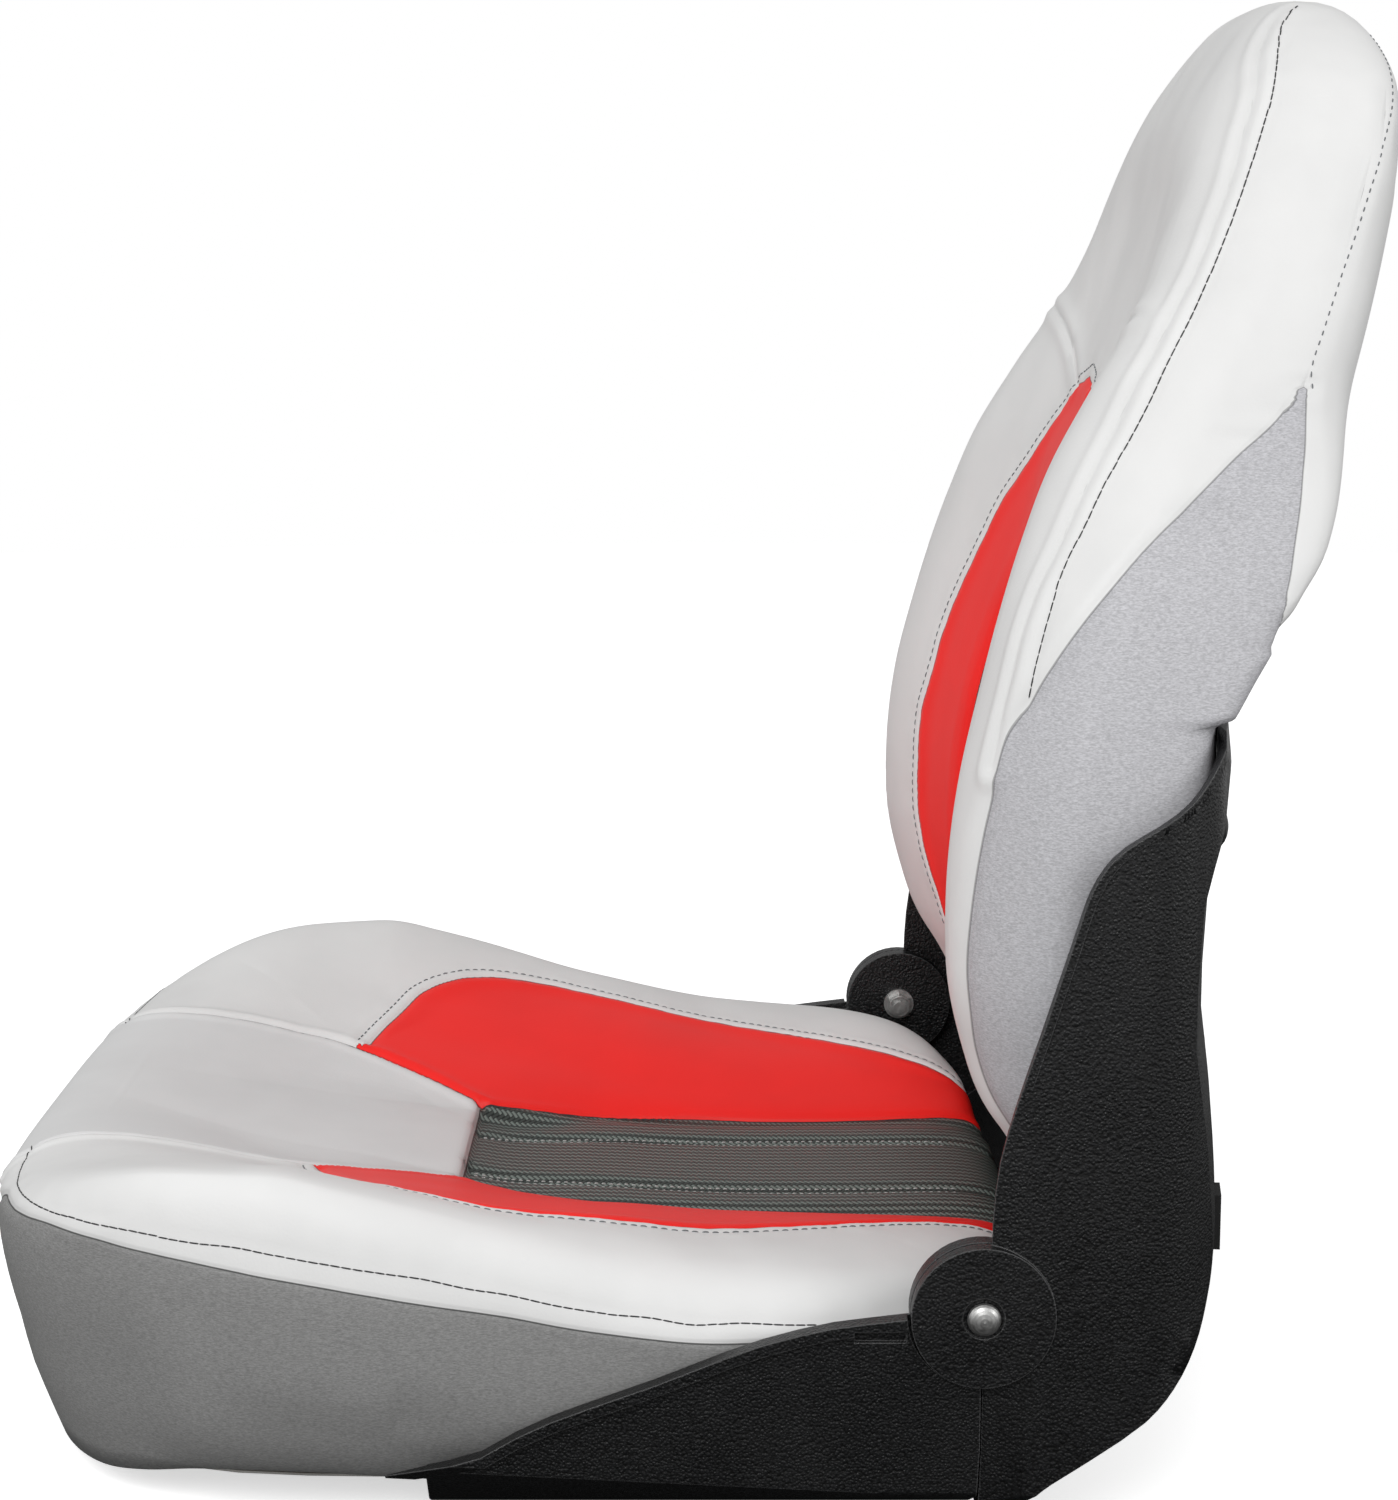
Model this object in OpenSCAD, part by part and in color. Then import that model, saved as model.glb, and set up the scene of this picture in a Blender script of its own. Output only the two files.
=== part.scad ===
// Folding high-back boat seat: a moulded pan with hinge ears, a moulded back shell that folds
// down onto the seat, and two upholstered cushions. Millimetres, +Z up, the sitter faces -Y.
// The origin is the centre of the pedestal bolt pattern, on the flat underside of the pan.

/* [Mounting pattern] */
// Spacing of the pedestal bolts across the seat, centre to centre
bolt_pitch_x = 127; // [100:1:180]
// Spacing of the pedestal bolts front to back, centre to centre
bolt_pitch_y = 127; // [100:1:150]
// Radius of the tapped bore of each insert, for a 1/4 in thread
insert_bore_r = 2.6; // [2:0.1:3.2]
// Length of each threaded insert
insert_length = 11; // [8:0.5:11]

/* [Pan] */
// Half width over the side walls of the pan
pan_half_w = 250; // [248:0.5:250]
// Thickness of the moulded walls
wall = 4; // [3:0.5:4.5]
// Thickness of the floor of the pan
floor_t = 6; // [4:0.5:7]
// Front edge of the pan floor
pan_front_y = -105; // [-115:1:-95]
// Rear edge of the pan floor
pan_rear_y = 104; // [98:1:105]

/* [Hinge] */
// Position of the hinge axis front to back
hinge_y = 108; // [107:0.5:109]
// Height of the hinge axis above the mounting face
hinge_z = 95; // [94:0.5:96]
// Radius of the round hinge ears
ear_r = 27.6; // [26:0.2:28]
// Radius of the hinge bolt shank
bolt_r = 3.175; // [3:0.025:3.2]
// Radial clearance of the bolt in its bush
hinge_clearance = 0.05; // [0.02:0.01:0.1]
// Outer face of the back shell's ear, from the middle of the seat
ear_face_x = 254.5; // [254:0.5:256]

/* [Back shell] */
// Half width over the arms of the back shell
arm_half_w = 252.5; // [252.5:0.5:253.5]
// Radius of the crown of the rear wall, seen from above
crown_r = 1150; // [1000:10:1400]
// Height of the top edge of the rear wall
shell_top_z = 318; // [300:1:322]

/* [Seat cushion] */
// Half width of the seat cushion
seat_half_w = 243; // [230:1:244]
// Length of the seat cushion from front to rear
seat_length = 440; // [420:1:440]
// Middle of the seat cushion front to back
seat_mid_y = -80; // [-90:1:-80]
// Squareness of the cushion's plan, where 2 is an ellipse
seat_square = 4.4; // [3:0.1:6]

/* [Back cushion] */
// Lowest point of the back cushion
back_bottom_z = 108; // [108:1:120]
// Highest point of the headrest
back_top_z = 602; // [560:1:610]

/* [Cushion mesh] */
// Steps across each cushion
mesh_steps = 24; // [12:2:24]

/* [Hidden] */
$fn = 64;

shell_black = [0.12, 0.12, 0.13];
thread_free = 0.02;

// ---- Shared helpers -------------------------------------------------------------------------

// Extrudes a side view, drawn in the Y-Z plane, from x0 to x1
module side_view(x0, x1) {
    translate([x0, 0, 0]) rotate([90, 0, 90]) linear_extrude(x1 - x0) children();
}

// Extrudes a front view, drawn in the X-Z plane, from y0 to y1
module front_view(y0, y1) {
    translate([0, y1, 0]) rotate([90, 0, 0]) linear_extrude(y1 - y0) children();
}

// A cylinder along X between two x positions, at a point of the side view
module x_rod(x0, x1, r, y = hinge_y, z = hinge_z) {
    translate([x0, y, z]) rotate([0, 90, 0]) cylinder(r = r, h = x1 - x0);
}

// A cylinder along Y between two y positions
module y_rod(x, z, y0, y1, r) {
    translate([x, y0, z]) rotate([-90, 0, 0]) cylinder(r = r, h = y1 - y0);
}

module both_sides() {
    children();
    mirror([1, 0, 0]) children();
}

// One side of the seat: +1 is the sitter's left, -1 the right
module on_side(side) {
    if (side > 0) {
        children();
    } else {
        mirror([1, 0, 0]) children();
    }
}

module at_points(points) {
    for (p = points) translate(p) children();
}

// Smooth curve through a short list of [position, value] knots
function rise(t, i) = (t[i + 1][1] - t[i][1]) / (t[i + 1][0] - t[i][0]);
function knot_slope(t, i) = i <= 0 || i >= len(t) - 1 ? 0 : (rise(t, i) + rise(t, i - 1)) / 2;
function knot_before(t, x, i = 0) = i >= len(t) - 2 || x < t[i + 1][0] ? i : knot_before(t, x, i + 1);
function limited(x, low, high) = min(max(x, low), high);
function curve(t, at) =
    let (
        x = limited(at, t[0][0], t[len(t) - 1][0]),
        i = knot_before(t, x),
        h = t[i + 1][0] - t[i][0],
        u = (x - t[i][0]) / h
    )
    (1 + 2 * u) * pow(1 - u, 2) * t[i][1] + u * pow(1 - u, 2) * h * knot_slope(t, i)
    + u * u * (3 - 2 * u) * t[i + 1][1] - u * u * (1 - u) * h * knot_slope(t, i + 1);
function smooth_step(t) = let (u = limited(t, 0, 1)) u * u * (3 - 2 * u);

// ---- Cushion mesh ---------------------------------------------------------------------------

// Grid lines run from -1 to 1 and crowd towards the edges, where a cushion rolls over
function grid_line(i) =
    let (t = 2 * i / mesh_steps - 1)
    sign(t) * (1 - pow(1 - abs(t), 1.7));
// Maps the square ring of a grid point to a superellipse ring of the same size
function ring(a, b) = max(abs(a), abs(b));
function squircle(a, b, n) =
    let (reach = pow(pow(abs(a), n) + pow(abs(b), n), 1 / n))
    reach == 0 ? [0, 0] : [a, b] * ring(a, b) / reach;
// How far a face has risen from the widest line, from 0 at the edge to nearly 1 inside
function roll(s, sharp, fullness) = pow(max(0, 1 - pow(s, sharp)), 1 / fullness);

// Splits a four-sided cell a, b, c, d into two triangles
function cell(a, b, c, d, turned) = turned ? [[a, d, b], [b, d, c]] : [[a, d, c], [a, c, b]];
// Closes an upper and a lower face, which share the ring of points at the widest line. The cells
// of two opposite quarters split along the other diagonal, so no triangle lies flat at a corner.
module cushion_mesh(upper, lower) {
    n = mesh_steps;
    side = n + 1;
    points = concat(
        [for (i = [0:n], j = [0:n]) upper[i][j]],
        [for (i = [1:n - 1], j = [1:n - 1]) lower[i][j]]
    );
    function up(i, j) = i * side + j;
    function low(i, j) =
        i == 0 || j == 0 || i == n || j == n ? up(i, j) : side * side + (i - 1) * (n - 1) + j - 1;
    faces = [
        for (i = [n - 1:-1:0], j = [n - 1:-1:0])
            let (turned = (i < n / 2) != (j < n / 2))
            each concat(
                cell(up(i, j), up(i + 1, j), up(i + 1, j + 1), up(i, j + 1), turned),
                cell(low(i, j), low(i, j + 1), low(i + 1, j + 1), low(i + 1, j), turned)
            )
    ];
    polyhedron(points, faces, convexity = 6);
}

// ---- Seat pan -------------------------------------------------------------------------------

// Top line of each side wall: it climbs from the front tip to the hinge
wing_knots = [[-97, 35], [-62, 51], [-14, 69], [20, 82.5], [39, 88], [53, 91], [65, 92.5], [92, 95]];
wing_top = [for (y = [-97:13.5:92]) [y, curve(wing_knots, y)]];
// Front end of the rim, which runs on past the wall as a short down-turned lip
rim_lip = [[-121, 29], [-97, 35]];
rim_depth = 4.5;
rim_proud = 3;
rim_inner_x = pan_half_w - wall;
// Lower corner of the side walls, from the floor out to the wall: distance in from the wall, height
corner_outer = [
    [60, 0], [55, 0.8], [28, 8.8], [24, 10.5], [18, 13.5], [10, 17.5], [4, 20], [1, 22], [0, 24]
];
corner_inner = [[58, 6], [24, 11.6], [18.5, 13], [13, 17], [8.5, 22], [4, 28], [0, 36]];
// The walls' lower edge climbs to the front, cut back at a slant under pan and shell alike
under_climb = 2.9;
under_cut = [[224, -4.2], [262, 41.4]];
// Rear edge of the side walls under the hinge
wing_rear = [[107.6, 68], [107.6, 42], [106.4, 17]];
ear_inner_x = 239;
ear_outer_x = 246.5;
ear_pocket_r = ear_r + 1.2;
// Hollow under the rim by each hinge, a hand hold for unclipping the trim
notch_y = [59, 79];
notch_z = [84, 89];
board_under_z = 12;
cover_t = 1;
boss_top_z = board_under_z - cover_t;
boss_r = 11;
seat_screw_at = [for (x = [-140, 140], y = [-62, 66]) [x, y, 0]];
insert_at = [for (x = [-1, 1], y = [-1, 1]) [x * bolt_pitch_x / 2, y * bolt_pitch_y / 2, 0]];
insert_r = 6;
screw_head_r = 6.5;
screw_head_h = 3;
screw_r = 3;
screw_recess = 0.8;
drain_r = 4;

// What the slant takes off the lower corners, raised to leave a wall inside a hollow
module under_corners(raise = 0) {
    low = -20;
    line = [for (p = under_cut) p + [0, raise]];
    both_sides() rotate([-under_climb, 0, 0]) front_view(-200, 300)
        polygon(concat(line, [[under_cut[1][0], low], [under_cut[0][0], low]]));
}

// Half of the pan's cross-section, from the middle to the side wall
module pan_section() {
    outer = [for (p = corner_outer) [pan_half_w - p[0], p[1]]];
    inner = [for (p = corner_inner) [rim_inner_x - p[0], p[1]]];
    top = 130;
    half = concat([[0, 0]], outer, [[pan_half_w, top], [rim_inner_x, top]],
        [for (i = [len(inner) - 1:-1:0]) inner[i]], [[0, floor_t]]);
    polygon(half);
    mirror([1, 0]) polygon(half);
}

// Side view that trims the pan: the climbing wall tops and the rounded ends of the floor
module pan_profile() {
    polygon(concat(
        [[pan_front_y + 6, -1], [pan_front_y + 1.5, 2.5], [pan_front_y, 8], [pan_front_y, 33]],
        wing_top, wing_rear, [[pan_rear_y, -1]]
    ));
}

module pan_rim() {
    line = concat(rim_lip, [for (i = [1:len(wing_top) - 1]) wing_top[i]]);
    under = [for (i = [len(line) - 1:-1:0]) line[i] - [-0.8, rim_depth]];
    side_view(rim_inner_x - 0.5, pan_half_w + rim_proud) polygon(concat(line, under));
}

// Round ear inside the side wall, on a thick web that carries it
module base_ear() {
    x_rod(ear_inner_x, ear_outer_x, ear_r);
    side_view(ear_inner_x + 2, ear_outer_x)
        polygon([[52, 30], [104.6, 24], [107, 68], [92, 93], [60, 86]]);
}

module pan_ribs() {
    rib_t = 3;
    for (x = [-165, -95, 0, 95, 165])
        translate([x - rib_t / 2, pan_front_y + 3, floor_t - 1])
            cube([rib_t, pan_rear_y - pan_front_y - 6, boss_top_z - floor_t + 1]);
    for (y = [pan_front_y, -32, 30, pan_rear_y - rib_t])
        translate([-185, y, floor_t - 1]) cube([370, rib_t, boss_top_z - floor_t + 1]);
}

module seat_base() {
    color(shell_black) difference() {
        union() {
            intersection() {
                front_view(-140, 140) pan_section();
                side_view(-260, 260) pan_profile();
            }
            both_sides() pan_rim();
            both_sides() base_ear();
            pan_ribs();
            at_points(seat_screw_at) cylinder(r = boss_r, h = boss_top_z);
            at_points(insert_at) cylinder(r = boss_r, h = boss_top_z);
        }
        at_points(insert_at) translate([0, 0, -1]) cylinder(r = insert_r, h = boss_top_z + 2);
        at_points(seat_screw_at) translate([0, 0, -1]) cylinder(r = screw_r + 0.1, h = boss_top_z + 2);
        at_points(seat_screw_at) translate([0, 0, -1])
            cylinder(r = screw_head_r + 0.4, h = screw_head_h + screw_recess + 1);
        under_corners();
        for (x = [-50, 50]) translate([x, 0, -1]) cylinder(r = drain_r, h = boss_top_z + 2);
        both_sides() {
            x_rod(ear_outer_x, 270, ear_pocket_r);
            x_rod(ear_inner_x - 1, ear_outer_x + 1, bolt_r + 0.05);
            translate([pan_half_w - 2, notch_y[0], notch_z[0]])
                cube([6, notch_y[1] - notch_y[0], notch_z[1] - notch_z[0]]);
        }
    }
}

module mount_inserts() {
    color("goldenrod") at_points(insert_at) difference() {
        cylinder(r = insert_r, h = insert_length);
        translate([0, 0, -1]) cylinder(r = insert_bore_r, h = insert_length + 2);
    }
}

// ---- Seat cushion and its board -------------------------------------------------------------

// Heights of the top face along the middle and along the crest of the side bolsters
seat_middle_z = [
    [-300, 119], [-270, 119], [-225, 111], [-180, 100], [-140, 94], [-105, 89], [-50, 80],
    [0, 76.5], [60, 76], [140, 77]
];
seat_crest_z = [
    [-300, 118], [-270, 132.5], [-250, 139.5], [-225, 146], [-200, 148], [-180, 147], [-160, 145],
    [-140, 140], [-100, 129], [-50, 116.5], [0, 106], [30, 103.5], [60, 102.5], [140, 102.5]
];
// Half widths of the bolster crest and of the flat middle
seat_crest_x = [
    [-300, 190], [-250, 206], [-225, 218], [-180, 228], [-140, 230], [-100, 228], [-50, 222],
    [0, 214], [60, 209], [140, 205]
];
seat_flat_x = [[-300, 20], [-200, 40], [-105, 45], [0, 52], [140, 55]];
// How the bolster climbs: above 1, the first power starts it gently from the flat middle and the
// second eases it into the crest
seat_bolster_start = [[-300, 1.3], [-160, 1.23], [-120, 1.05], [-100, 1], [140, 1]];
seat_bolster_ease = [
    [-300, 1], [-120, 1], [-104, 1.05], [-80, 1.25], [-50, 1.8], [-20, 2.4], [60, 2.6], [140, 1.8]
];
// Two sewn channels in the flat middle: how far out, how deep, how wide and where they start
channel_x = 38;
channel_depth = 4;
channel_w = 12;
channel_front_y = -115;
// Heights of the widest line and of the underside
seat_edge_z = [[-300, 100], [-250, 106], [-200, 100], [-100, 84], [0, 68], [140, 66]];
seat_under_z = [[-300, 18], [-262, 12], [60, 12], [105, 20], [140, 34]];
board_t = 9;
// The cover wraps under the board's edge, so the underside has a recess that holds the board
board_recess = 0.86;
seat_board_size = 0.82;
dust_cover_size = 0.84;
bolster_drop = 0.006;

function seat_bolster(t, y) =
    1 - pow(1 - pow(limited(t, 0, 1), curve(seat_bolster_start, y)), curve(seat_bolster_ease, y));
function channel(x, y) =
    channel_depth * exp(-pow((abs(x) - channel_x) / channel_w, 2))
    * smooth_step((y - channel_front_y) / 25);
function seat_top(x, y) =
    let (
        crest = curve(seat_crest_x, y),
        flat = curve(seat_flat_x, y),
        middle = curve(seat_middle_z, y),
        t = (abs(x) - flat) / (crest - flat)
    )
    middle + (curve(seat_crest_z, y) - middle) * seat_bolster(t, y)
    - bolster_drop * pow(max(0, abs(x) - crest), 2) - channel(x, y);
function seat_plan(a, b) =
    let (p = squircle(a, b, seat_square))
    [p[0] * seat_half_w, seat_mid_y + p[1] * seat_length / 2];
// The top rolls over softly at the ends and more sharply at the sides
function seat_upper(a, b) =
    let (
        p = seat_plan(a, b),
        edge = curve(seat_edge_z, p[1]),
        across = pow(abs(a), seat_square),
        side_share = across / max(0.001, across + pow(abs(b), seat_square))
    )
    [p[0], p[1], edge + (seat_top(p[0], p[1]) - edge) * roll(ring(a, b), 18 + 22 * side_share, 2.3)];
function seat_lower(a, b) =
    let (
        p = seat_plan(a, b),
        edge = curve(seat_edge_z, p[1]),
        under = ring(a, b) < board_recess ? board_under_z + board_t
            : edge + (curve(seat_under_z, p[1]) - edge) * min(1, 1.14 * roll(ring(a, b), 14, 2.2))
    )
    [p[0], p[1], max(board_under_z, under)];

module seat_cushion() {
    n = mesh_steps;
    color([0.86, 0.86, 0.85]) cushion_mesh(
        [for (i = [0:n]) [for (j = [0:n]) seat_upper(grid_line(i), grid_line(j))]],
        [for (i = [0:n]) [for (j = [0:n]) seat_lower(grid_line(i), grid_line(j))]]
    );
}

// Flat plate with the cushion's plan, reduced by the factor size
module seat_plate(size, z, t) {
    around = [for (k = [0:7.5:352.5]) [cos(k), sin(k)]];
    reach = [
        for (p = around)
            pow(pow(abs(p[0]), seat_square) + pow(abs(p[1]), seat_square), -1 / seat_square)
    ];
    translate([0, seat_mid_y, z]) linear_extrude(t) polygon([
        for (i = [0:len(around) - 1])
            [around[i][0] * seat_half_w, around[i][1] * seat_length / 2] * reach[i] * size
    ]);
}

module seat_board() {
    color("burlywood") difference() {
        seat_plate(seat_board_size, board_under_z, board_t);
        at_points(seat_screw_at) translate([0, 0, board_under_z - 1]) cylinder(r = 4.4, h = board_t + 2);
    }
}

module seat_tee_nuts() {
    color("silver") at_points(seat_screw_at) translate([0, 0, board_under_z]) difference() {
        cylinder(r = 4.4, h = board_t);
        translate([0, 0, -1]) cylinder(r = screw_r + thread_free, h = board_t + 2);
    }
}

module seat_screws() {
    color("silver") at_points(seat_screw_at) translate([0, 0, screw_recess]) {
        cylinder(r = screw_head_r, h = screw_head_h);
        cylinder(r = screw_r, h = board_under_z + board_t - screw_recess - 1);
    }
}

module seat_dust_cover() {
    color([0.85, 0.85, 0.83]) difference() {
        seat_plate(dust_cover_size, boss_top_z, cover_t);
        at_points(seat_screw_at) translate([0, 0, boss_top_z - 1]) cylinder(r = 4.4, h = cover_t + 2);
    }
}

// ---- Hinge hardware -------------------------------------------------------------------------

arm_inner_x = arm_half_w - wall;
bush_r = 5;
head_r = 6.4;
head_h = 4.2;
head_gap = 0.15;
// Ring sunk into the ear round the bolt head
head_ring = 1;
head_ring_r = 8;
washer_t = 1.6;
washer_r = 8;
nut_t = 7;
nut_r = 6.4;
friction_r = 20;
friction_x = [ear_outer_x + 0.1, arm_inner_x - 0.2];
bolt_end_x = ear_inner_x - washer_t - nut_t - 2;

module hinge_bolt(side) {
    head_x = ear_face_x + head_gap;
    color("gainsboro") on_side(side) {
        x_rod(bolt_end_x, head_x + 0.5, bolt_r);
        translate([head_x, hinge_y, hinge_z]) rotate([0, 90, 0]) rotate_extrude()
            polygon(concat([[0, 0], [head_r, 0]],
                [for (a = [0:15:90]) [head_r * cos(a), 0.8 + (head_h - 0.8) * sin(a)]]));
    }
}

module washer(side, x0, x1, outer, inner) {
    on_side(side) difference() {
        x_rod(x0, x1, outer);
        x_rod(x0 - 1, x1 + 1, inner);
    }
}

module friction_washer(side) {
    color("ivory") washer(side, friction_x[0], friction_x[1], friction_r, bolt_r + hinge_clearance);
}

module flat_washer(side) {
    color("silver") washer(side, ear_inner_x - washer_t, ear_inner_x, washer_r, bolt_r + hinge_clearance);
}

// Hexagon nut with the round collar that holds its nylon ring
module lock_nut(side) {
    collar = 2;
    outer_x = ear_inner_x - washer_t;
    color("silver") on_side(side) difference() {
        union() {
            translate([outer_x - nut_t + collar, hinge_y, hinge_z])
                rotate([0, 90, 0]) cylinder(r = nut_r, h = nut_t - collar, $fn = 6);
            x_rod(outer_x - nut_t, outer_x, nut_r * cos(30) - 0.3);
        }
        x_rod(outer_x - nut_t - 1, outer_x + 1, bolt_r + thread_free);
    }
}

module hinge_bush(side) {
    color("dimgray") washer(side, arm_inner_x, ear_face_x, bush_r, bolt_r + hinge_clearance);
}

// ---- Back shell -----------------------------------------------------------------------------

// Side view of the rear wall's outer face by the arms, from its foot to its top
rear_outer = [
    [112, 13.5], [128, 18], [141, 28], [155, 37.5], [167, 46], [176, 54], [184, 66], [191, 81],
    [197, 98], [198.5, 112], [197, 142], [195, 166], [191, 197], [191, 221], [192.5, 252],
    [198.5, 279], [200, 300], [198, shell_top_z]
];
// Its inner face, one wall thickness in
rear_inner = [
    [106, 17.5], [126, 22], [138, 31.5], [152, 41], [164, 49.5], [172.5, 57], [180.5, 68.5], [187.5, 83],
    [193, 99], [194.5, 112], [193, 142], [191, 166], [187, 197], [187, 221], [188.5, 252],
    [194.5, 279], [196, 300], [194, shell_top_z + 2]
];
// Front edge of each arm, from the hinge up to the shoulder
arm_front_knots = [
    [119, 111], [139, 111.8], [154, 113.5], [174, 118.5], [206, 128.6], [243, 140.3], [259, 145.5],
    [268, 150.5], [275, 157], [285, 172.7], [290, 180], [295, 185.3], [305, 193], [316, 198.5]
];
arm_front = concat(
    [for (z = [119:12:251]) [curve(arm_front_knots, z), z]],
    [for (z = [256:4:316]) [curve(arm_front_knots, z), z]]
);
// Front edge of each arm under the hinge, which stops against the pan when the back is upright
arm_foot = [[107.2, 17], [108.1, 42], [108.3, 68]];
arm_rim_w = 3;
arm_rim_proud = 1.2;
// Rear corners, seen from above
corner_r = 30.5;
corner_at = [arm_half_w - corner_r, 169];
crown_rise = 23;
crown_axis_y = crown_rise - crown_r + 199;
cap_at = [120, 260];
cap_r = 9.75;
cap_h = 8;
lower_screw_at = [120, 165];
bumper_at = [150, 102];
bumper_size = [18, 23];
board_rear_y = 186;
back_board_t = 9;

// Turns a side view of the rear wall about the distant vertical axis of its crown
module crowned(points, low_y) {
    spread = 27;
    edge = [for (p = points) [p[0] - crown_axis_y + crown_rise, p[1]]];
    inner_r = low_y - crown_axis_y;
    translate([0, crown_axis_y, 0]) rotate([0, 0, 90 - spread / 2])
        rotate_extrude(angle = spread, $fn = 180)
            polygon(concat([[inner_r, edge[0][1]]], edge, [[inner_r, edge[len(edge) - 1][1]]]));
}

// Plan view that rounds the two rear corners
module corner_plan(half_w, r) {
    turned = 78;
    translate([0, 0, -5]) linear_extrude(400) for (side = [0, 1]) mirror([side, 0]) {
        translate(corner_at) circle(r = r);
        polygon([
            [0, 0], [half_w, 0], [half_w, corner_at[1]],
            corner_at + r * [cos(turned), sin(turned)], [corner_at[0] - 9, 206], [0, 232]
        ]);
    }
}

module back_solid(points, half_w, r) {
    intersection() {
        crowned(points, 60);
        corner_plan(half_w, r);
    }
}

// Side view of an arm and of everything behind it
module arm_profile() {
    behind = [[240, 316], [240, shell_top_z + 5], [300, 320], [300, 0], arm_foot[0] - [0, 17]];
    polygon(concat(arm_foot, arm_front, behind));
}

// Thin raised edge along the front of each arm
module arm_rim() {
    inner = [for (i = [len(arm_front) - 1:-1:0]) arm_front[i] + [arm_rim_w, -1.5]];
    intersection() {
        side_view(corner_at[0], arm_half_w + 10) polygon(concat(arm_front, inner));
        difference() {
            back_solid(rear_outer, arm_half_w + arm_rim_proud, corner_r + arm_rim_proud);
            back_solid(rear_inner, arm_half_w - 1, corner_r - 1);
        }
    }
}

// Outer face of the rear wall at a given height and distance from the middle
function rear_face(x, z) =
    let (r = curve([for (p = rear_outer) [p[1], p[0]]], z) + crown_rise - crown_axis_y)
    crown_axis_y + sqrt(r * r - x * x);

module back_bosses() {
    both_sides() for (p = [cap_at, lower_screw_at])
        y_rod(p[0], p[1], board_rear_y, rear_face(p[0], p[1]) - 1, 9);
}

module back_ribs() {
    rib_t = 3;
    intersection() {
        back_solid(rear_outer, arm_half_w - 1, corner_r - 1);
        union() {
            for (x = [-170, -60, 60, 170])
                translate([x - rib_t / 2, board_rear_y + 2, 60]) cube([rib_t, 60, 235]);
            for (z = [120, 210, 290]) translate([-200, board_rear_y + 2, z]) cube([400, 60, rib_t]);
        }
    }
}

module bumper_block(grow, depth, proud) {
    x = bumper_at[0];
    y = rear_face(x, bumper_at[1]);
    size = bumper_size + [2 * grow, 2 * grow];
    translate([x, y - depth, bumper_at[1]]) rotate([0, 0, -asin(x / crown_r)])
        translate([-size[0] / 2, 0, -size[1] / 2]) cube([size[0], depth + proud, size[1]]);
}

module back_shell() {
    color(shell_black) difference() {
        union() {
            intersection() {
                difference() {
                    back_solid(rear_outer, arm_half_w, corner_r);
                    difference() {
                        back_solid(rear_inner, arm_inner_x, corner_r - wall);
                        under_corners(wall + 1);
                    }
                    under_corners();
                }
                side_view(-260, 260) arm_profile();
            }
            back_ribs();
            back_bosses();
            both_sides() arm_rim();
            both_sides() x_rod(arm_inner_x, ear_face_x, ear_r);
        }
        both_sides() {
            x_rod(arm_inner_x - 1, ear_face_x + 1, bush_r);
            x_rod(ear_face_x - head_ring, ear_face_x + 1, head_ring_r);
            y_rod(cap_at[0], cap_at[1], 150, 240, screw_r + 0.1);
            y_rod(lower_screw_at[0], lower_screw_at[1], 150, 240, screw_r + 0.1);
            y_rod(lower_screw_at[0], lower_screw_at[1],
                rear_face(lower_screw_at[0], lower_screw_at[1]) - screw_head_h - 2, 240, screw_head_r + 0.4);
            bumper_block(0.2, 1.5, 10);
            y_rod(cap_at[0], cap_at[1], rear_face(cap_at[0], cap_at[1]) + 0.1, 240, cap_r + 0.6);
        }
    }
}

// Screws that hold the back board: the upper pair sits under caps, the lower pair in recesses
function screw_face(p, sunk) = rear_face(p[0], p[1]) - sunk;
module back_screw(p, sunk) {
    face = screw_face(p, sunk);
    y_rod(p[0], p[1], face, face + screw_head_h, screw_head_r);
    y_rod(p[0], p[1], board_rear_y - back_board_t + 1, face + 1, screw_r);
}

module back_screws() {
    color("silver") both_sides() {
        back_screw(cap_at, -0.1);
        back_screw(lower_screw_at, screw_head_h + 2);
    }
}

module screw_caps() {
    face = rear_face(cap_at[0], cap_at[1]) + 0.4;
    dome = [for (a = [0:15:90]) [cap_r * cos(a), 2 + (cap_h - 2) * sin(a)]];
    color(shell_black) both_sides()
        translate([cap_at[0], face, cap_at[1]]) rotate([-90, 0, 0]) difference() {
            rotate_extrude() polygon(concat([[0, 0], [cap_r, 0]], dome));
            translate([0, 0, -1]) cylinder(r = screw_head_r + 0.3, h = screw_head_h + 1.6);
        }
}

module rear_bumpers() {
    color([0.09, 0.09, 0.09]) both_sides() bumper_block(0, 1.4, 4);
}

// ---- Back cushion and its board -------------------------------------------------------------

back_board_w = 300;
back_board_z = [153, 281];

module back_board() {
    color("burlywood") difference() {
        translate([-back_board_w / 2, board_rear_y - back_board_t, back_board_z[0]])
            cube([back_board_w, back_board_t, back_board_z[1] - back_board_z[0]]);
        both_sides() for (p = [cap_at, lower_screw_at]) y_rod(p[0], p[1], 150, 200, 4.4);
    }
}

module back_tee_nuts() {
    color("silver") both_sides() for (p = [cap_at, lower_screw_at]) difference() {
        y_rod(p[0], p[1], board_rear_y - back_board_t, board_rear_y, 4.4);
        y_rod(p[0], p[1], 150, 200, screw_r + thread_free);
    }
}

// Half width of the outline, before its ends are rounded
back_half_w = [
    [104, 245], [250, 244], [300, 241], [350, 228], [400, 206], [440, 191], [470, 182], [500, 173],
    [530, 168], [560, 163], [602, 150]
];
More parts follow.
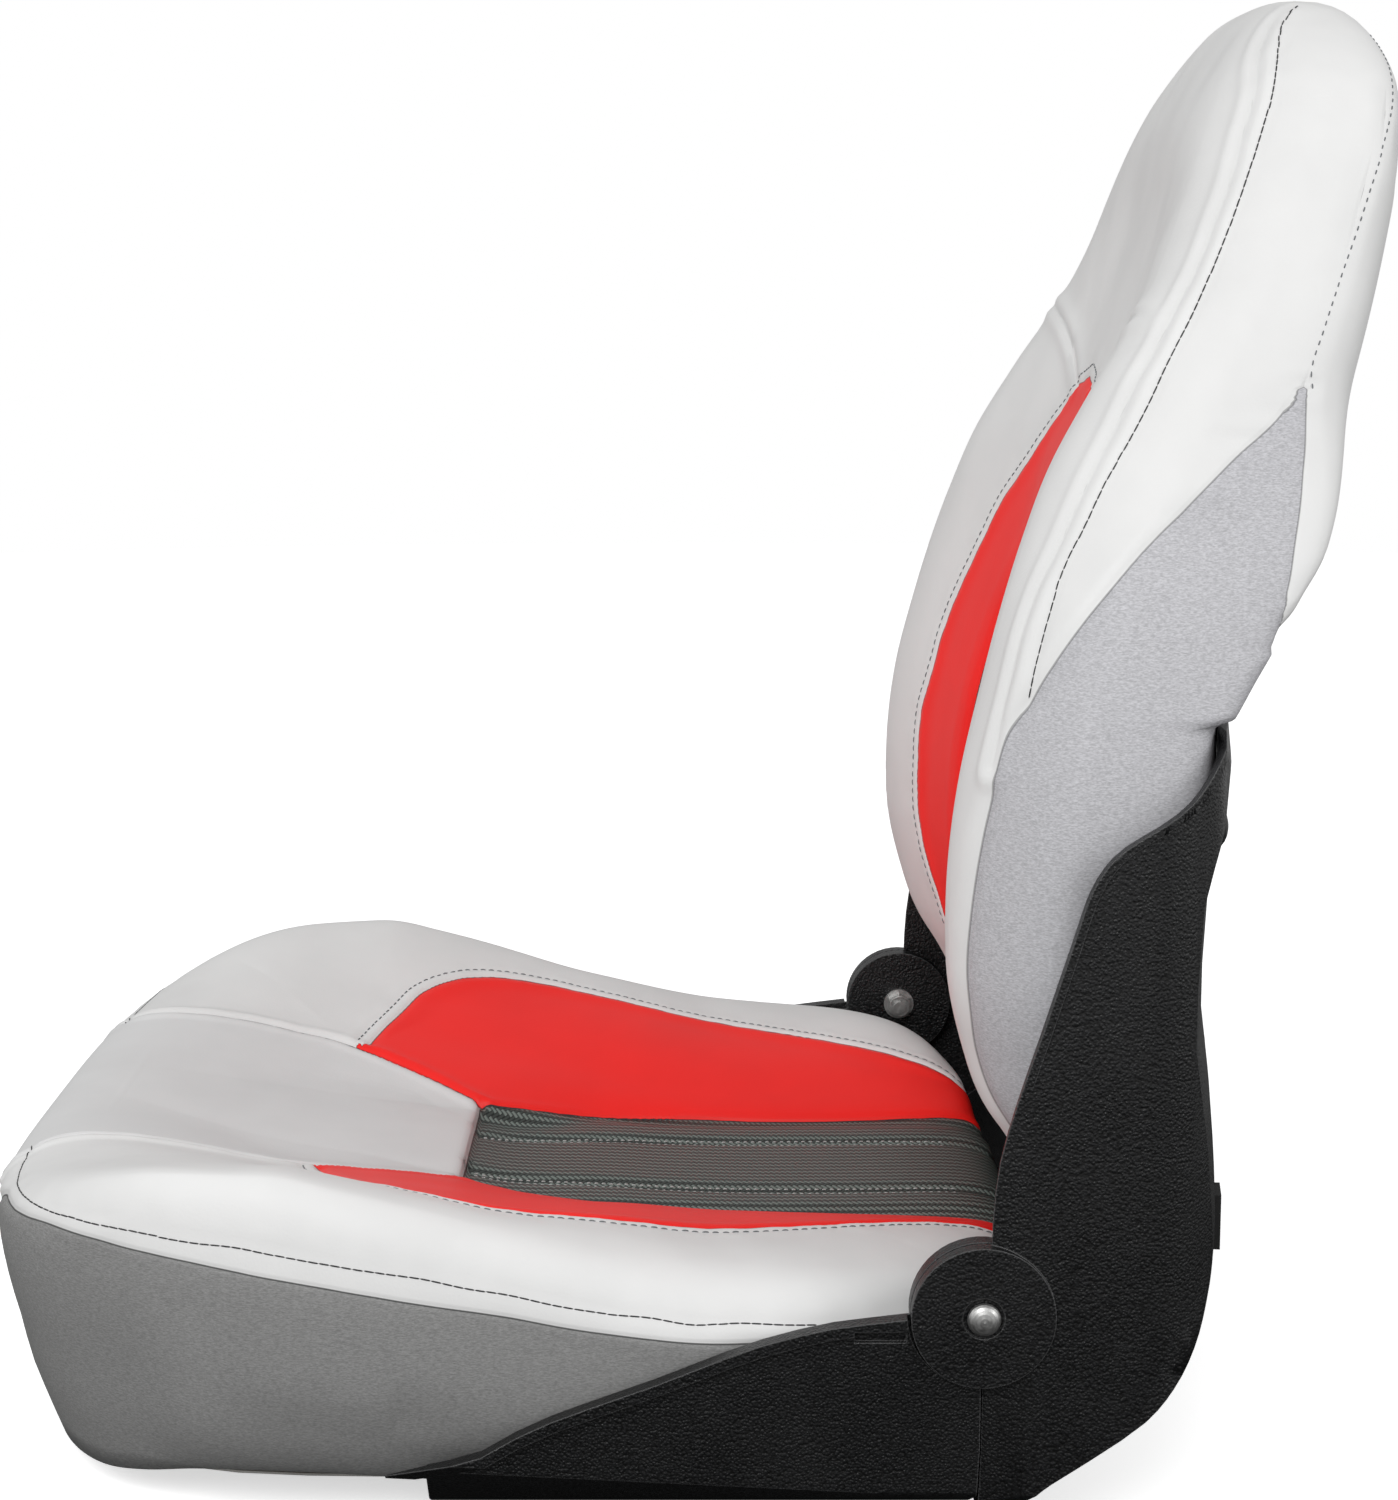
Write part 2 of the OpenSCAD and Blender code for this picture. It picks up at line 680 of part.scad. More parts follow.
// Crest of the side bolsters: how far back it lies, and its half width
back_crest_y = [
    [104, 135], [140, 118], [160, 107], [180, 101], [200, 97.5], [230, 96], [260, 97], [290, 101],
    [320, 108], [350, 116], [380, 125.5], [410, 137], [440, 154], [470, 172], [500, 185], [530, 194],
    [560, 203], [602, 214]
];
back_crest_x = [
    [104, 180], [230, 192], [320, 186], [380, 170], [436, 155], [500, 126], [530, 116], [560, 95],
    [602, 60]
];
// Depth of the hollow between the bolsters
back_hollow = [[104, 20], [160, 26], [320, 28], [400, 24], [470, 14], [520, 8], [560, 2], [602, 0]];
back_flat_x = 40;
// Rear face and widest line
back_rear_y = [
    [104, 180], [200, 184], [290, 186], [310, 188], [332, 212], [350, 226], [380, 240], [440, 258],
    [500, 276], [530, 284], [560, 289], [602, 286]
];
back_edge_y = [[104, 150], [230, 140], [320, 150], [410, 188], [500, 230], [560, 250], [602, 252]];
board_pocket = [188, 126, 306];

function back_bolster(t) = 0.6 * smooth_step(t) + 0.4 * pow(limited(t, 0, 1), 1.3);
function back_plan(a, b) =
    let (p = squircle(a, b, b > 0 ? 3.3 : 5))
    let (z = (back_top_z + back_bottom_z) / 2 + p[1] * (back_top_z - back_bottom_z) / 2)
    [p[0] * curve(back_half_w, z), z];
function back_front(x, z) =
    let (
        crest = curve(back_crest_x, z),
        t = limited((abs(x) - back_flat_x) / (crest - back_flat_x), 0, 1)
    )
    curve(back_crest_y, z) + curve(back_hollow, z) * (1 - back_bolster(t))
    + bolster_drop * pow(max(0, abs(x) - crest), 2);
function back_upper(a, b) =
    let (p = back_plan(a, b), edge = curve(back_edge_y, p[1]))
    [p[0], edge + (back_front(p[0], p[1]) - edge) * roll(ring(a, b), 12, 2.2), p[1]];
function back_lower(a, b) =
    let (
        p = back_plan(a, b),
        edge = curve(back_edge_y, p[1]),
        pocket = abs(p[0]) < board_pocket[0] && p[1] > board_pocket[1] && p[1] < board_pocket[2],
        rear = pocket ? board_rear_y - back_board_t
            : edge + (curve(back_rear_y, p[1]) - edge) * roll(ring(a, b), 16, 2.4)
    )
    [p[0], rear, p[1]];

module back_cushion() {
    n = mesh_steps;
    color([0.86, 0.86, 0.85]) cushion_mesh(
        [for (i = [0:n]) [for (j = [0:n]) back_upper(grid_line(i), grid_line(j))]],
        [for (i = [0:n]) [for (j = [0:n]) back_lower(grid_line(i), grid_line(j))]]
    );
}

// ---- Assembly -------------------------------------------------------------------------------

seat_base();
mount_inserts();
seat_board();
seat_tee_nuts();
seat_screws();
seat_dust_cover();
seat_cushion();
hinge_bolt(1);  // hinge_bolt_left
hinge_bolt(-1);  // hinge_bolt_right
friction_washer(1);  // friction_washer_left
friction_washer(-1);  // friction_washer_right
flat_washer(1);  // flat_washer_left
flat_washer(-1);  // flat_washer_right
lock_nut(1);  // lock_nut_left
lock_nut(-1);  // lock_nut_right
back_shell();
hinge_bush(1);  // hinge_bush_left
hinge_bush(-1);  // hinge_bush_right
back_board();
back_tee_nuts();
back_screws();
screw_caps();
rear_bumpers();
back_cushion();
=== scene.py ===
"""Looks of a folding boat seat: padded vinyl covers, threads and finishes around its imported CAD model.

Lengths in the tables are in millimetres, in the frame of the CAD model, and become metres when a mesh is made.
The seat is the same on both sides, so a seam is given for the sitter's left side, +X, and mirrored.
"""

import bmesh
import bpy
import numpy as np
from bpy.props import FloatProperty, FloatVectorProperty, IntProperty, PointerProperty
from mathutils.bvhtree import BVHTree
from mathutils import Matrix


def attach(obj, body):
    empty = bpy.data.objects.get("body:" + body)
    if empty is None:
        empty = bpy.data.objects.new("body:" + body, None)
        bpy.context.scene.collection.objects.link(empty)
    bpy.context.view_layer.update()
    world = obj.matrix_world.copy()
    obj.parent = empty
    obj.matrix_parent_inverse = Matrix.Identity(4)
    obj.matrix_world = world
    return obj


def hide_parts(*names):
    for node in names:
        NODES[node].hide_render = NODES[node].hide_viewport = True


bl_info = {
    "name": "Folding Boat Seat Looks",
    "version": (1, 0, 0),
    "blender": (4, 5, 0),
    "location": "3D View > Sidebar > Boat Seat",
    "description": "Dresses a folding boat seat with padded covers, stitching and moulded plastic",
    "category": "Object",
}

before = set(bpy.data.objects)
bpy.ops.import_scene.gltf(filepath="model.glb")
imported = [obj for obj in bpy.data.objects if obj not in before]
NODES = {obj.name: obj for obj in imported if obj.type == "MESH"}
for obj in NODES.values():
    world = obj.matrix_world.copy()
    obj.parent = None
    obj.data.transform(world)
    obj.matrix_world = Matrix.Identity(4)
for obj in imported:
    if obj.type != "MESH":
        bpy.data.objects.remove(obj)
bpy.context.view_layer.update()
MM = 0.001

# ---- Shape tables, in millimetres -----------------------------------------------------------

SEAT_HALF_W, SEAT_MID_Y, SEAT_HALF_L, SEAT_SQUARE = 243, -80, 220, 4.4
SEAT_MIDDLE_Z = [(-300, 119), (-270, 119), (-225, 111), (-180, 100), (-140, 94), (-105, 89), (-50, 80),
                 (0, 76.5), (60, 76), (140, 77)]
SEAT_CREST_Z = [(-300, 118), (-270, 132.5), (-250, 139.5), (-225, 146), (-200, 148), (-180, 147), (-160, 145),
                (-140, 140), (-100, 129), (-50, 116.5), (0, 106), (30, 103.5), (60, 102.5), (140, 102.5)]
SEAT_CREST_X = [(-300, 190), (-250, 206), (-225, 218), (-180, 228), (-140, 230), (-100, 228), (-50, 222),
                (0, 214), (60, 209), (140, 205)]
SEAT_FLAT_X = [(-300, 20), (-200, 40), (-140, 46), (-105, 54), (-50, 68), (0, 72), (60, 73.5), (140, 76)]
SEAT_BOLSTER_START = [(-300, 1.3), (-160, 1.23), (-120, 1.05), (-100, 1), (140, 1)]
SEAT_BOLSTER_EASE = [(-300, 1), (-120, 1), (-104, 1.05), (-80, 1.25), (-50, 1.8), (-20, 2.4), (60, 2.6), (140, 1.8)]
SEAT_EDGE_Z = [(-300, 100), (-250, 106), (-200, 100), (-100, 84), (0, 68), (140, 66)]
SEAT_UNDER_Z = [(-300, 10), (-262, 9.5), (-240, 10), (-222, 13), (-200, 17), (-160, 18.5), (-120, 17),
                (-60, 13), (60, 13), (105, 20), (140, 34)]
SEAT_BOARD_SHARE, SEAT_FLOOR_Z, SEAT_RECESS_Z = 0.872, 9, 21

BACK_TOP_Z, BACK_BOTTOM_Z = 602, 108
BACK_HALF_W = [(104, 245), (250, 244), (300, 241), (350, 228), (400, 206), (440, 191), (470, 182), (500, 173),
               (530, 168), (560, 163), (602, 150)]
BACK_CREST_Y = [(104, 135), (140, 118), (160, 107), (180, 101), (200, 97.5), (230, 96), (260, 97), (290, 101),
                (320, 108), (350, 116), (380, 125.5), (410, 137), (440, 154), (470, 172), (500, 185), (530, 194),
                (560, 203), (602, 214)]
BACK_CREST_X = [(104, 180), (230, 192), (320, 186), (380, 170), (436, 155), (500, 126), (530, 116), (560, 95),
                (602, 60)]
BACK_HOLLOW = [(104, 20), (160, 26), (320, 28), (400, 24), (470, 14), (520, 8), (560, 2), (602, 0)]
BACK_REAR_Y = [(104, 180), (200, 184), (262, 186), (285, 199), (318, 201), (322, 203.5), (328, 207), (334, 210.5),
               (342, 215.5), (350, 220.5), (357, 225), (380, 241), (440, 258), (500, 276), (530, 284), (560, 289),
               (602, 286)]
BACK_EDGE_Y = [(104, 150), (230, 140), (320, 150), (410, 188), (500, 230), (560, 250), (602, 252)]
BACK_FLAT_X = 40
BACK_SQUARE_TOP, BACK_SQUARE_FOOT = 3.3, 5.0
SEAT_NOSE_SQUARE = SEAT_SQUARE - 0.5
BACK_POCKET_X, BACK_POCKET_Z, BACK_POCKET_Y = 188, (126, 306), 177
BOLSTER_DROP = 0.006
BACK_RIB_X = 38
# Local shaping of the covers: height of the seat's middle, its dip behind the nose, its crest by the nose,
# the back's hollow behind its dark panel, and its bolsters
MIDDLE_LIFT, MIDDLE_DIP, CREST_LIFT, HOLLOW_DEPTH, BOLSTER_LIFT = 2.6, 5.0, 2.5, 5.5, 2.0
SEAM_WIDTH, STITCH_WIDTH, STITCH_DEPTH = 2.6, 2.2, 0.75
RED_STITCH_AWAY_SEAT, RED_STITCH_AWAY_BACK = 6.5, 5.2
PUCKER_HEIGHT, PUCKER_REACH = 0.16, 4.5
# Steps along a seam's path for its fields and for the cloth, and the distance that means no seam is near
PATH_STEP, HELD_STEP, FAR = 2.0, 4.0, 30.0
SEAT_RIB_X = [(-110, 28), (-80, 31.5), (-50, 33.8), (0, 36.2), (60, 37.5), (140, 36)]

# Seams of the seat in plan: distance from the middle and position along the seat
SILVER_SEAM = [(113, -296), (107.5, -270), (105.8, -250), (105.2, -225), (104, -200), (102.7, -180), (96.4, -165),
               (60.4, -105)]
DARK_RED_SEAM = [(60.4, -105), (65, -80), (70, -50), (73.5, -20), (75, 0), (75, 30), (75.5, 60), (77.5, 90),
                 (79.5, 110), (84, 139)]
RED_SEAM = [(103, -163), (114, -160), (138, -151), (164, -140), (181.6, -120), (187.5, -104), (189.6, -80),
            (183.2, -50), (175.8, -20), (171, 0), (160.8, 30), (149.9, 60), (138.3, 90), (129.7, 110), (118, 139)]
# Height of the seam round the seat's side, by position along the seat
BOXING_Z = [(-300, 114), (-282, 115), (-257, 118), (-237, 117), (-225, 115.5), (-200, 112.4), (-175, 109),
            (-150, 105.1), (-125, 100.7), (-100, 96.3), (-75, 92.1), (-50, 87.1), (-25, 83.5), (0, 80.7),
            (25, 80.1), (140, 80.1)]
# Outer topstitch of the seat: x, y, z along the side and round the nose
OUTER_STITCH = [(106, -285, 119), (122, -284, 118), (145, -281, 118.2), (173, -274, 119.5), (198, -262, 121.5),
                (216, -249, 124), (228, -229, 123), (234, -211, 121), (237, -193, 119), (239, -176, 118),
                (240, -158, 115), (240, -141, 112), (240, -124, 109), (240, -106, 106), (240, -89, 102),
                (240, -72, 99), (240, -55, 95), (240, -37, 92), (239, -20, 90), (239, -2, 87), (237, 15, 87),
                (236, 33, 86), (234, 60, 86), (228, 90, 86)]

# Seams of the back on its front face: distance from the middle and height
BACK_RED_SEAM = [(0, 441), (25, 435), (51, 417), (69, 398), (89, 378), (100, 358), (112, 337), (121, 315), (124, 293),
                 (130, 270), (129, 248), (128, 225), (121, 203), (109, 184), (100, 160), (96, 135), (94, 106)]
BACK_DARK_SEAM = [(0, 398), (12, 388), (28, 368), (42, 348), (54, 328), (62, 305), (66, 285), (70, 260), (72, 235),
                  (72, 205), (72, 160), (72, 106)]
HEADREST_SEAM = [(25, 435), (45, 441), (70, 450), (98, 460), (128, 468), (150, 471), (161, 470)]
# Seams of the back in space
CREASE = [(70, 245, 600), (82, 234, 590), (97, 227, 576), (120, 221, 557), (133, 214, 539), (143, 208, 522),
          (149, 201, 506), (156, 194, 489), (162, 186, 474), (169, 178, 458), (175, 169, 443), (182, 161, 427),
          (187, 153, 412), (192, 145, 397), (196, 138, 381), (199, 130, 366), (203, 124, 350), (208, 120, 333),
          (212, 116, 317), (215, 112, 300)]
CREASE_STITCH = [(76, 246, 601), (90, 238, 592), (106, 233, 574), (127, 227, 555), (139, 220, 537), (148, 213, 519),
                 (155, 206, 502), (163, 198, 485), (170, 190, 469), (177, 181, 453), (183, 173, 437),
                 (189, 164, 421), (194, 155, 406), (199, 147, 390), (203, 139, 374), (209, 133, 357),
                 (215, 128, 341), (219, 124, 324)]
REAR_SEAM = [(86, 284, 596), (112, 279, 571), (139, 269, 540), (151, 261, 521), (160, 254, 503), (169, 246, 484),
             (177, 239, 466), (184, 233, 448), (186, 233, 441)]
# Outline of the grey side panel, seen from the side: position along the seat and height
SIDE_PANEL_FRONT = [(232, 445), (220, 430), (206, 419), (194, 407), (181, 395), (168, 383), (156, 370), (145, 357),
                    (135, 343), (126, 328), (118, 313), (113, 296), (109, 279), (106, 261), (104, 243), (103, 224),
                    (104, 205), (106, 186), (112, 168), (122, 151), (132, 134), (146, 112)]
SIDE_PANEL_REAR = [(170, 112), (186, 140), (200, 200), (216, 290), (223, 322), (221, 344), (222, 363), (225, 382),
                   (229, 401), (232, 420), (233, 439)]


# ---- Surface formulas -----------------------------------------------------------------------


def curve(table, at):
    """Smooth line through knots: between two knots a cubic whose slope at a knot is the mean of the slopes
    beside it, level at both ends.
    """
    t = np.array(table, float)
    x, y = t[:, 0], t[:, 1]
    rise = np.diff(y) / np.diff(x)
    slope = np.concatenate([[0], (rise[1:] + rise[:-1]) / 2, [0]])
    at = np.clip(at, x[0], x[-1])
    i = np.clip(np.searchsorted(x, at, side="right") - 1, 0, len(x) - 2)
    h = x[i + 1] - x[i]
    u = (at - x[i]) / h
    return ((1 + 2 * u) * (1 - u) ** 2 * y[i] + u * (1 - u) ** 2 * h * slope[i]
            + u * u * (3 - 2 * u) * y[i + 1] - u * u * (1 - u) * h * slope[i + 1])


def smooth_step(t):
    """0 below 0 and 1 above 1, with 3t^2 - 2t^3 between."""
    t = np.clip(t, 0, 1)
    return t * t * (3 - 2 * t)


def dense_path(points, step):
    """Points a step apart along a smooth line through the given points: a cubic in each coordinate over the
    length so far.
    """
    p = np.array(points, float)
    along = np.concatenate([[0], np.cumsum(np.linalg.norm(np.diff(p, axis=0), axis=1))])
    at = np.linspace(0, along[-1], max(2, int(along[-1] / step) + 1))
    slope = np.gradient(p, along, axis=0)
    i = np.clip(np.searchsorted(along, at, side="right") - 1, 0, len(along) - 2)
    h = (along[i + 1] - along[i])[:, None]
    u = (at[:, None] - along[i][:, None]) / h
    return ((1 + 2 * u) * (1 - u) ** 2 * p[i] + u * (1 - u) ** 2 * h * slope[i]
            + u * u * (3 - 2 * u) * p[i + 1] - u * u * (1 - u) * h * slope[i + 1])


def plan_ring(a, b, square):
    """Maps a square grid to rings of a superellipse: the point moves along its own ray until its superellipse
    size equals its square size.
    """
    ring = np.maximum(abs(a), abs(b))
    reach = (abs(a) ** square + abs(b) ** square) ** (1 / square)
    keep = np.where(reach > 0, ring / np.where(reach > 0, reach, 1), 0)
    return a * keep, b * keep, ring


def roll(ring, sharp, fullness):
    """Rise from the widest line: (1 - ring^sharp)^(1/fullness)."""
    return np.maximum(0, 1 - ring ** sharp) ** (1 / fullness)


def seat_height(x, y):
    """Top of the seat: the middle height plus a share of the climb to the crest, 1 - (1 - t^start)^ease, and a
    drop past the crest with the square of the distance.
    """
    crest, flat, middle = curve(SEAT_CREST_X, y), curve(SEAT_FLAT_X, y), curve(SEAT_MIDDLE_Z, y)
    t = np.clip((abs(x) - flat) / (crest - flat), 0, 1)
    climb = 1 - (1 - t ** curve(SEAT_BOLSTER_START, y)) ** curve(SEAT_BOLSTER_EASE, y)
    return middle + (curve(SEAT_CREST_Z, y) - middle) * climb - BOLSTER_DROP * np.maximum(0, abs(x) - crest) ** 2


def seat_cover(a, b, upper):
    """Seat cover over the grid -1..1 by -1..1: a superellipse plan, whose top rolls over softly at the ends and
    sharply at the sides. Its side falls to the underside as ((1 - ring) / 0.1)^0.69 at the nose and rolls under
    it elsewhere, and the underside has a recess for its board.
    """
    square = np.where(b < 0, SEAT_NOSE_SQUARE, SEAT_SQUARE)
    p, q, ring = plan_ring(a, b, square)
    x, y = SEAT_HALF_W * p, SEAT_MID_Y + SEAT_HALF_L * q
    edge = curve(SEAT_EDGE_Z, y)
    if upper:
        side = abs(a) ** square / np.maximum(1e-6, abs(a) ** square + abs(b) ** square)
        z = edge + (seat_height(x, y) - edge) * roll(ring, 18 + 22 * side, 2.3)
    else:
        nose = smooth_step((-190 - y) / 40)
        fall = (1 - nose) * 1.14 * roll(ring, 14, 2.2) + nose * (np.maximum(0, 1 - ring) / 0.1) ** 0.69
        under = edge + (curve(SEAT_UNDER_Z, y) - edge) * np.minimum(1, fall)
        z = np.maximum(SEAT_FLOOR_Z, np.where(ring < SEAT_BOARD_SHARE, SEAT_RECESS_Z, under))
    return np.stack([x, y, z], -1)


def back_front(x, z):
    """Front face of the back: the crest line plus the hollow between the bolsters, whose share falls as
    0.6 smooth step + 0.4 t^1.3, and a fall past the crest with the square of the distance.
    """
    crest = curve(BACK_CREST_X, z)
    t = np.clip((abs(x) - BACK_FLAT_X) / (crest - BACK_FLAT_X), 0, 1)
    return (curve(BACK_CREST_Y, z) + curve(BACK_HOLLOW, z) * (1 - 0.6 * smooth_step(t) - 0.4 * t ** 1.3)
            + BOLSTER_DROP * np.maximum(0, abs(x) - crest) ** 2)


def back_cover(a, b, upper):
    """Back cover over the grid -1..1 by -1..1, standing: a superellipse front view whose front and rear roll over
    from the widest line. Behind, it stays in front of the shell's wall up to the shell's top edge and has a
    pocket for its board.
    """
    p, q, ring = plan_ring(a, b, np.where(b > 0, BACK_SQUARE_TOP, BACK_SQUARE_FOOT))
    z = (BACK_TOP_Z + BACK_BOTTOM_Z) / 2 + q * (BACK_TOP_Z - BACK_BOTTOM_Z) / 2
    x = p * curve(BACK_HALF_W, z)
    edge = curve(BACK_EDGE_Y, z)
    if upper:
        y = edge + (back_front(x, z) - edge) * roll(ring, 12, 2.2)
    else:
        snug = smooth_step((z - 255) / 25) * smooth_step((450 - z) / 110)
        wall = (190 + 0.22 * np.clip(243 - abs(x), 0, 100) + 12 * smooth_step((z - 317) / 5)
                + 400 * smooth_step((z - 320) / 60))
        rear = np.minimum(curve(BACK_REAR_Y, z), wall)
        y = edge + (rear - edge) * roll(ring, 16 + 44 * snug, 2.4 + 1.6 * snug)
        low, high = BACK_POCKET_Z
        inside = (smooth_step((BACK_POCKET_X - abs(x)) / 8) * smooth_step((z - low) / 8)
                  * smooth_step((high - z) / 8))
        y = y + (np.minimum(y, BACK_POCKET_Y) - y) * inside
    return np.stack([x, y, z], -1)


def grid_line(steps):
    """Grid positions from -1 to 1 that crowd a little towards the edges: 1 - (1 - |t|)^1.3."""
    t = np.linspace(-1, 1, steps + 1)
    return np.sign(t) * (1 - (1 - abs(t)) ** 1.3)


def cover_mesh(surface, steps, rings):
    """Points and faces of a closed cover: a fine square grid for the show side, and rings of the same edge points
    that close to one point on the hidden side.
    """
    t = grid_line(steps)
    a, b = np.meshgrid(t, t, indexing="ij")
    side = steps + 1
    top = surface(a, b, True).reshape(-1, 3)
    k = np.arange(side * side).reshape(side, side)
    border = np.concatenate([k[:-1, 0], k[-1, :-1], k[:0:-1, -1], k[0, :0:-1]])
    share = np.array(rings)[1:, None]
    low = surface(a.ravel()[border] * share, b.ravel()[border] * share, False)
    centre = surface(np.zeros(1), np.zeros(1), False)
    n = len(border)
    ids = np.concatenate([border[None], side * side + np.arange(low.shape[0] * n).reshape(-1, n)])
    centre_id = ids[-1, -1] + 1
    top_faces = np.stack([k[:-1, :-1], k[1:, :-1], k[1:, 1:], k[:-1, 1:]], -1).reshape(-1, 4)
    turn = np.roll(ids, -1, axis=1)
    low_faces = np.stack([ids[:-1], ids[1:], turn[1:], turn[:-1]], -1).reshape(-1, 4)
    fan = np.stack([ids[-1], np.full(n, centre_id), turn[-1]], -1)
    points = np.concatenate([top, low.reshape(-1, 3), centre])
    return points, [top_faces, low_faces, fan]


def between(values, rows, columns, cyclic):
    """Values of a grid at fractional rows and columns, blended from the four nearest."""
    last = values.shape[0] - 1
    r0 = np.clip(np.floor(rows).astype(int), 0, max(0, last - 1))
    c0 = np.floor(columns).astype(int)
    wide = values.shape[1]
    c0 = c0 % wide if cyclic else np.clip(c0, 0, wide - 2)
    c1 = (c0 + 1) % wide
    u, v = (rows - r0)[:, None, None], (columns - np.floor(columns) if cyclic else columns - c0)[None, :, None]
    r1 = np.minimum(r0 + 1, last)
    low = values[r0][:, c0] * (1 - v) + values[r0][:, c1] * v
    high = values[r1][:, c0] * (1 - v) + values[r1][:, c1] * v
    return low * (1 - u) + high * u


# Coarse copy of a cover for its cloth run, the frames of that run, and how much of the cap a free panel is drawn in
COARSE_STEPS, COARSE_FRAMES, DRAWN_IN = 76, 20, 0.5
COARSE_RINGS = [1, 0.985, 0.965, 0.94, 0.91, 0.88, 0.85, 0.8, 0.72, 0.6, 0.45, 0.3, 0.15]


def swelling(surface, steps, rings, held, cap):
    """How far each point of a cover moves when its padding presses outwards.

    A coarse copy of the cover is a cloth held where held(points) is near 1, blown up by pressure with no gravity.
    Its movement d is limited smoothly to cap * tanh(|d| / cap) and read off at the finer cover's grid positions.
    """
    coarse, sparse = COARSE_STEPS, COARSE_RINGS
    points, faces = cover_mesh(surface, coarse, sparse)
    copy = make_mesh("padding", points, faces)
    group = copy.vertex_groups.new(name="held")
    weights = np.round(held(points), 2)
    for weight in np.unique(weights[weights > 0]):
        group.add(np.flatnonzero(weights == weight).tolist(), float(weight), "REPLACE")
    cloth = copy.modifiers.new("Cloth", "CLOTH")
    cloth.settings.quality = 6
    cloth.settings.tension_stiffness = cloth.settings.compression_stiffness = 15
    cloth.settings.bending_stiffness = 8
    cloth.settings.use_pressure = True
    cloth.settings.uniform_pressure_force = 4.0
    cloth.settings.vertex_group_mass = "held"
    cloth.settings.pin_stiffness = 2.0
    cloth.settings.effector_weights.gravity = 0.0
    cloth.collision_settings.use_collision = False
    scene = bpy.context.scene
    cloth.point_cache.frame_start, cloth.point_cache.frame_end = 1, COARSE_FRAMES
    for step in range(1, COARSE_FRAMES + 1):
        scene.frame_set(step)
    pressed = copy.evaluated_get(bpy.context.evaluated_depsgraph_get())
    moved = np.empty(len(points) * 3, np.float32)
    pressed.data.vertices.foreach_get("co", moved)
    scene.frame_set(1)
    move = moved.reshape(-1, 3) / MM - points
    far = np.linalg.norm(move, axis=1)[:, None]
    move *= cap * np.tanh(far / cap) / np.maximum(far, 1e-9)
    mesh = copy.data
    bpy.data.objects.remove(copy)
    bpy.data.meshes.remove(mesh)
    at = np.interp(grid_line(steps), grid_line(coarse), np.arange(coarse + 1))
    shown = move[:(coarse + 1) ** 2].reshape(coarse + 1, coarse + 1, 3)
    for _ in range(3):
        shown[1:-1, 1:-1] = (shown[1:-1, 1:-1] + shown[:-2, 1:-1] + shown[2:, 1:-1]
                             + shown[1:-1, :-2] + shown[1:-1, 2:]) / 5
    top = between(shown, at, at, False)
    turn = np.concatenate([side * coarse + at[:-1] for side in range(4)])
    hidden = move[(coarse + 1) ** 2:-1].reshape(len(sparse) - 1, 4 * coarse, 3)
    index = np.arange((coarse + 1) ** 2).reshape(coarse + 1, coarse + 1)
    border = np.concatenate([index[:-1, 0], index[-1, :-1], index[:0:-1, -1], index[0, :0:-1]])
    hidden = np.concatenate([move[border][None], hidden])
    for _ in range(3):
        beside = np.roll(hidden, 1, axis=1) + np.roll(hidden, -1, axis=1)
        hidden[1:-1] = (hidden[1:-1] + hidden[:-2] + hidden[2:] + beside[1:-1]) / 5
    rows = np.interp(-np.array(rings[1:]), -np.array(sparse), np.arange(len(sparse)))
    low = between(hidden, rows, turn, True)
    return np.concatenate([top.reshape(-1, 3), low.reshape(-1, 3), move[-1:]])


# ---- Seam fields ----------------------------------------------------------------------------


def seam_distance(points, path):
    """Distance from each point to a path, and how far along the path it lies: the nearest path point, then the
    nearer of the two straight pieces that meet there.
    """
    along = np.concatenate([[0], np.cumsum(np.linalg.norm(np.diff(path, axis=0), axis=1))])
    gap, at = np.empty(len(points)), np.empty(len(points))
    for start in range(0, len(points), 16384):
        p = points[start:start + 16384]
        near = ((p ** 2).sum(1)[:, None] - 2 * p @ path.T + (path ** 2).sum(1)[None]).argmin(1)
        best, where = np.full(len(p), 1e9), np.zeros(len(p))
        for first in (np.clip(near - 1, 0, len(path) - 2), np.clip(near, 0, len(path) - 2)):
            a, ab = path[first], path[first + 1] - path[first]
            u = np.clip(((p - a) * ab).sum(1) / (ab ** 2).sum(1), 0, 1)
            d = np.linalg.norm(p - a - u[:, None] * ab, axis=1)
            where = np.where(d < best, along[first] + u * (along[first + 1] - along[first]), where)
            best = np.minimum(best, d)
        gap[start:start + 16384], at[start:start + 16384] = best, where
    return gap, at


def inside(u, v, outline):
    """True where a point lies inside a closed outline: a ray to the right crosses its edges an odd number of
    times.
    """
    odd = np.zeros(len(u), bool)
    ends = np.roll(outline, -1, axis=0)
    for (u0, v0), (u1, v1) in zip(outline, ends):
        if v0 != v1:
            odd ^= ((v0 > v) != (v1 > v)) & (u < (u1 - u0) * (v - v0) / (v1 - v0) + u0)
    return odd


def mirrored(points):
    """The same points on the sitter's left, where the seams are given."""
    return np.concatenate([abs(points[:, :1]), points[:, 1:]], 1)


def on_seat(plan):
    """A plan path laid on the seat's top."""
    x, y = plan[:, 0], plan[:, 1]
    b = np.clip((y - SEAT_MID_Y) / SEAT_HALF_L, -1, 1)
    ring = np.clip((abs(x / SEAT_HALF_W) ** SEAT_SQUARE + abs(b) ** SEAT_SQUARE) ** (1 / SEAT_SQUARE), 0, 1)
    side = abs(x / SEAT_HALF_W) ** SEAT_SQUARE / np.maximum(ring ** SEAT_SQUARE, 1e-6)
    edge = curve(SEAT_EDGE_Z, y)
    return np.stack([x, y, edge + (seat_height(x, y) - edge) * roll(ring, 18 + 22 * side, 2.3)], -1)


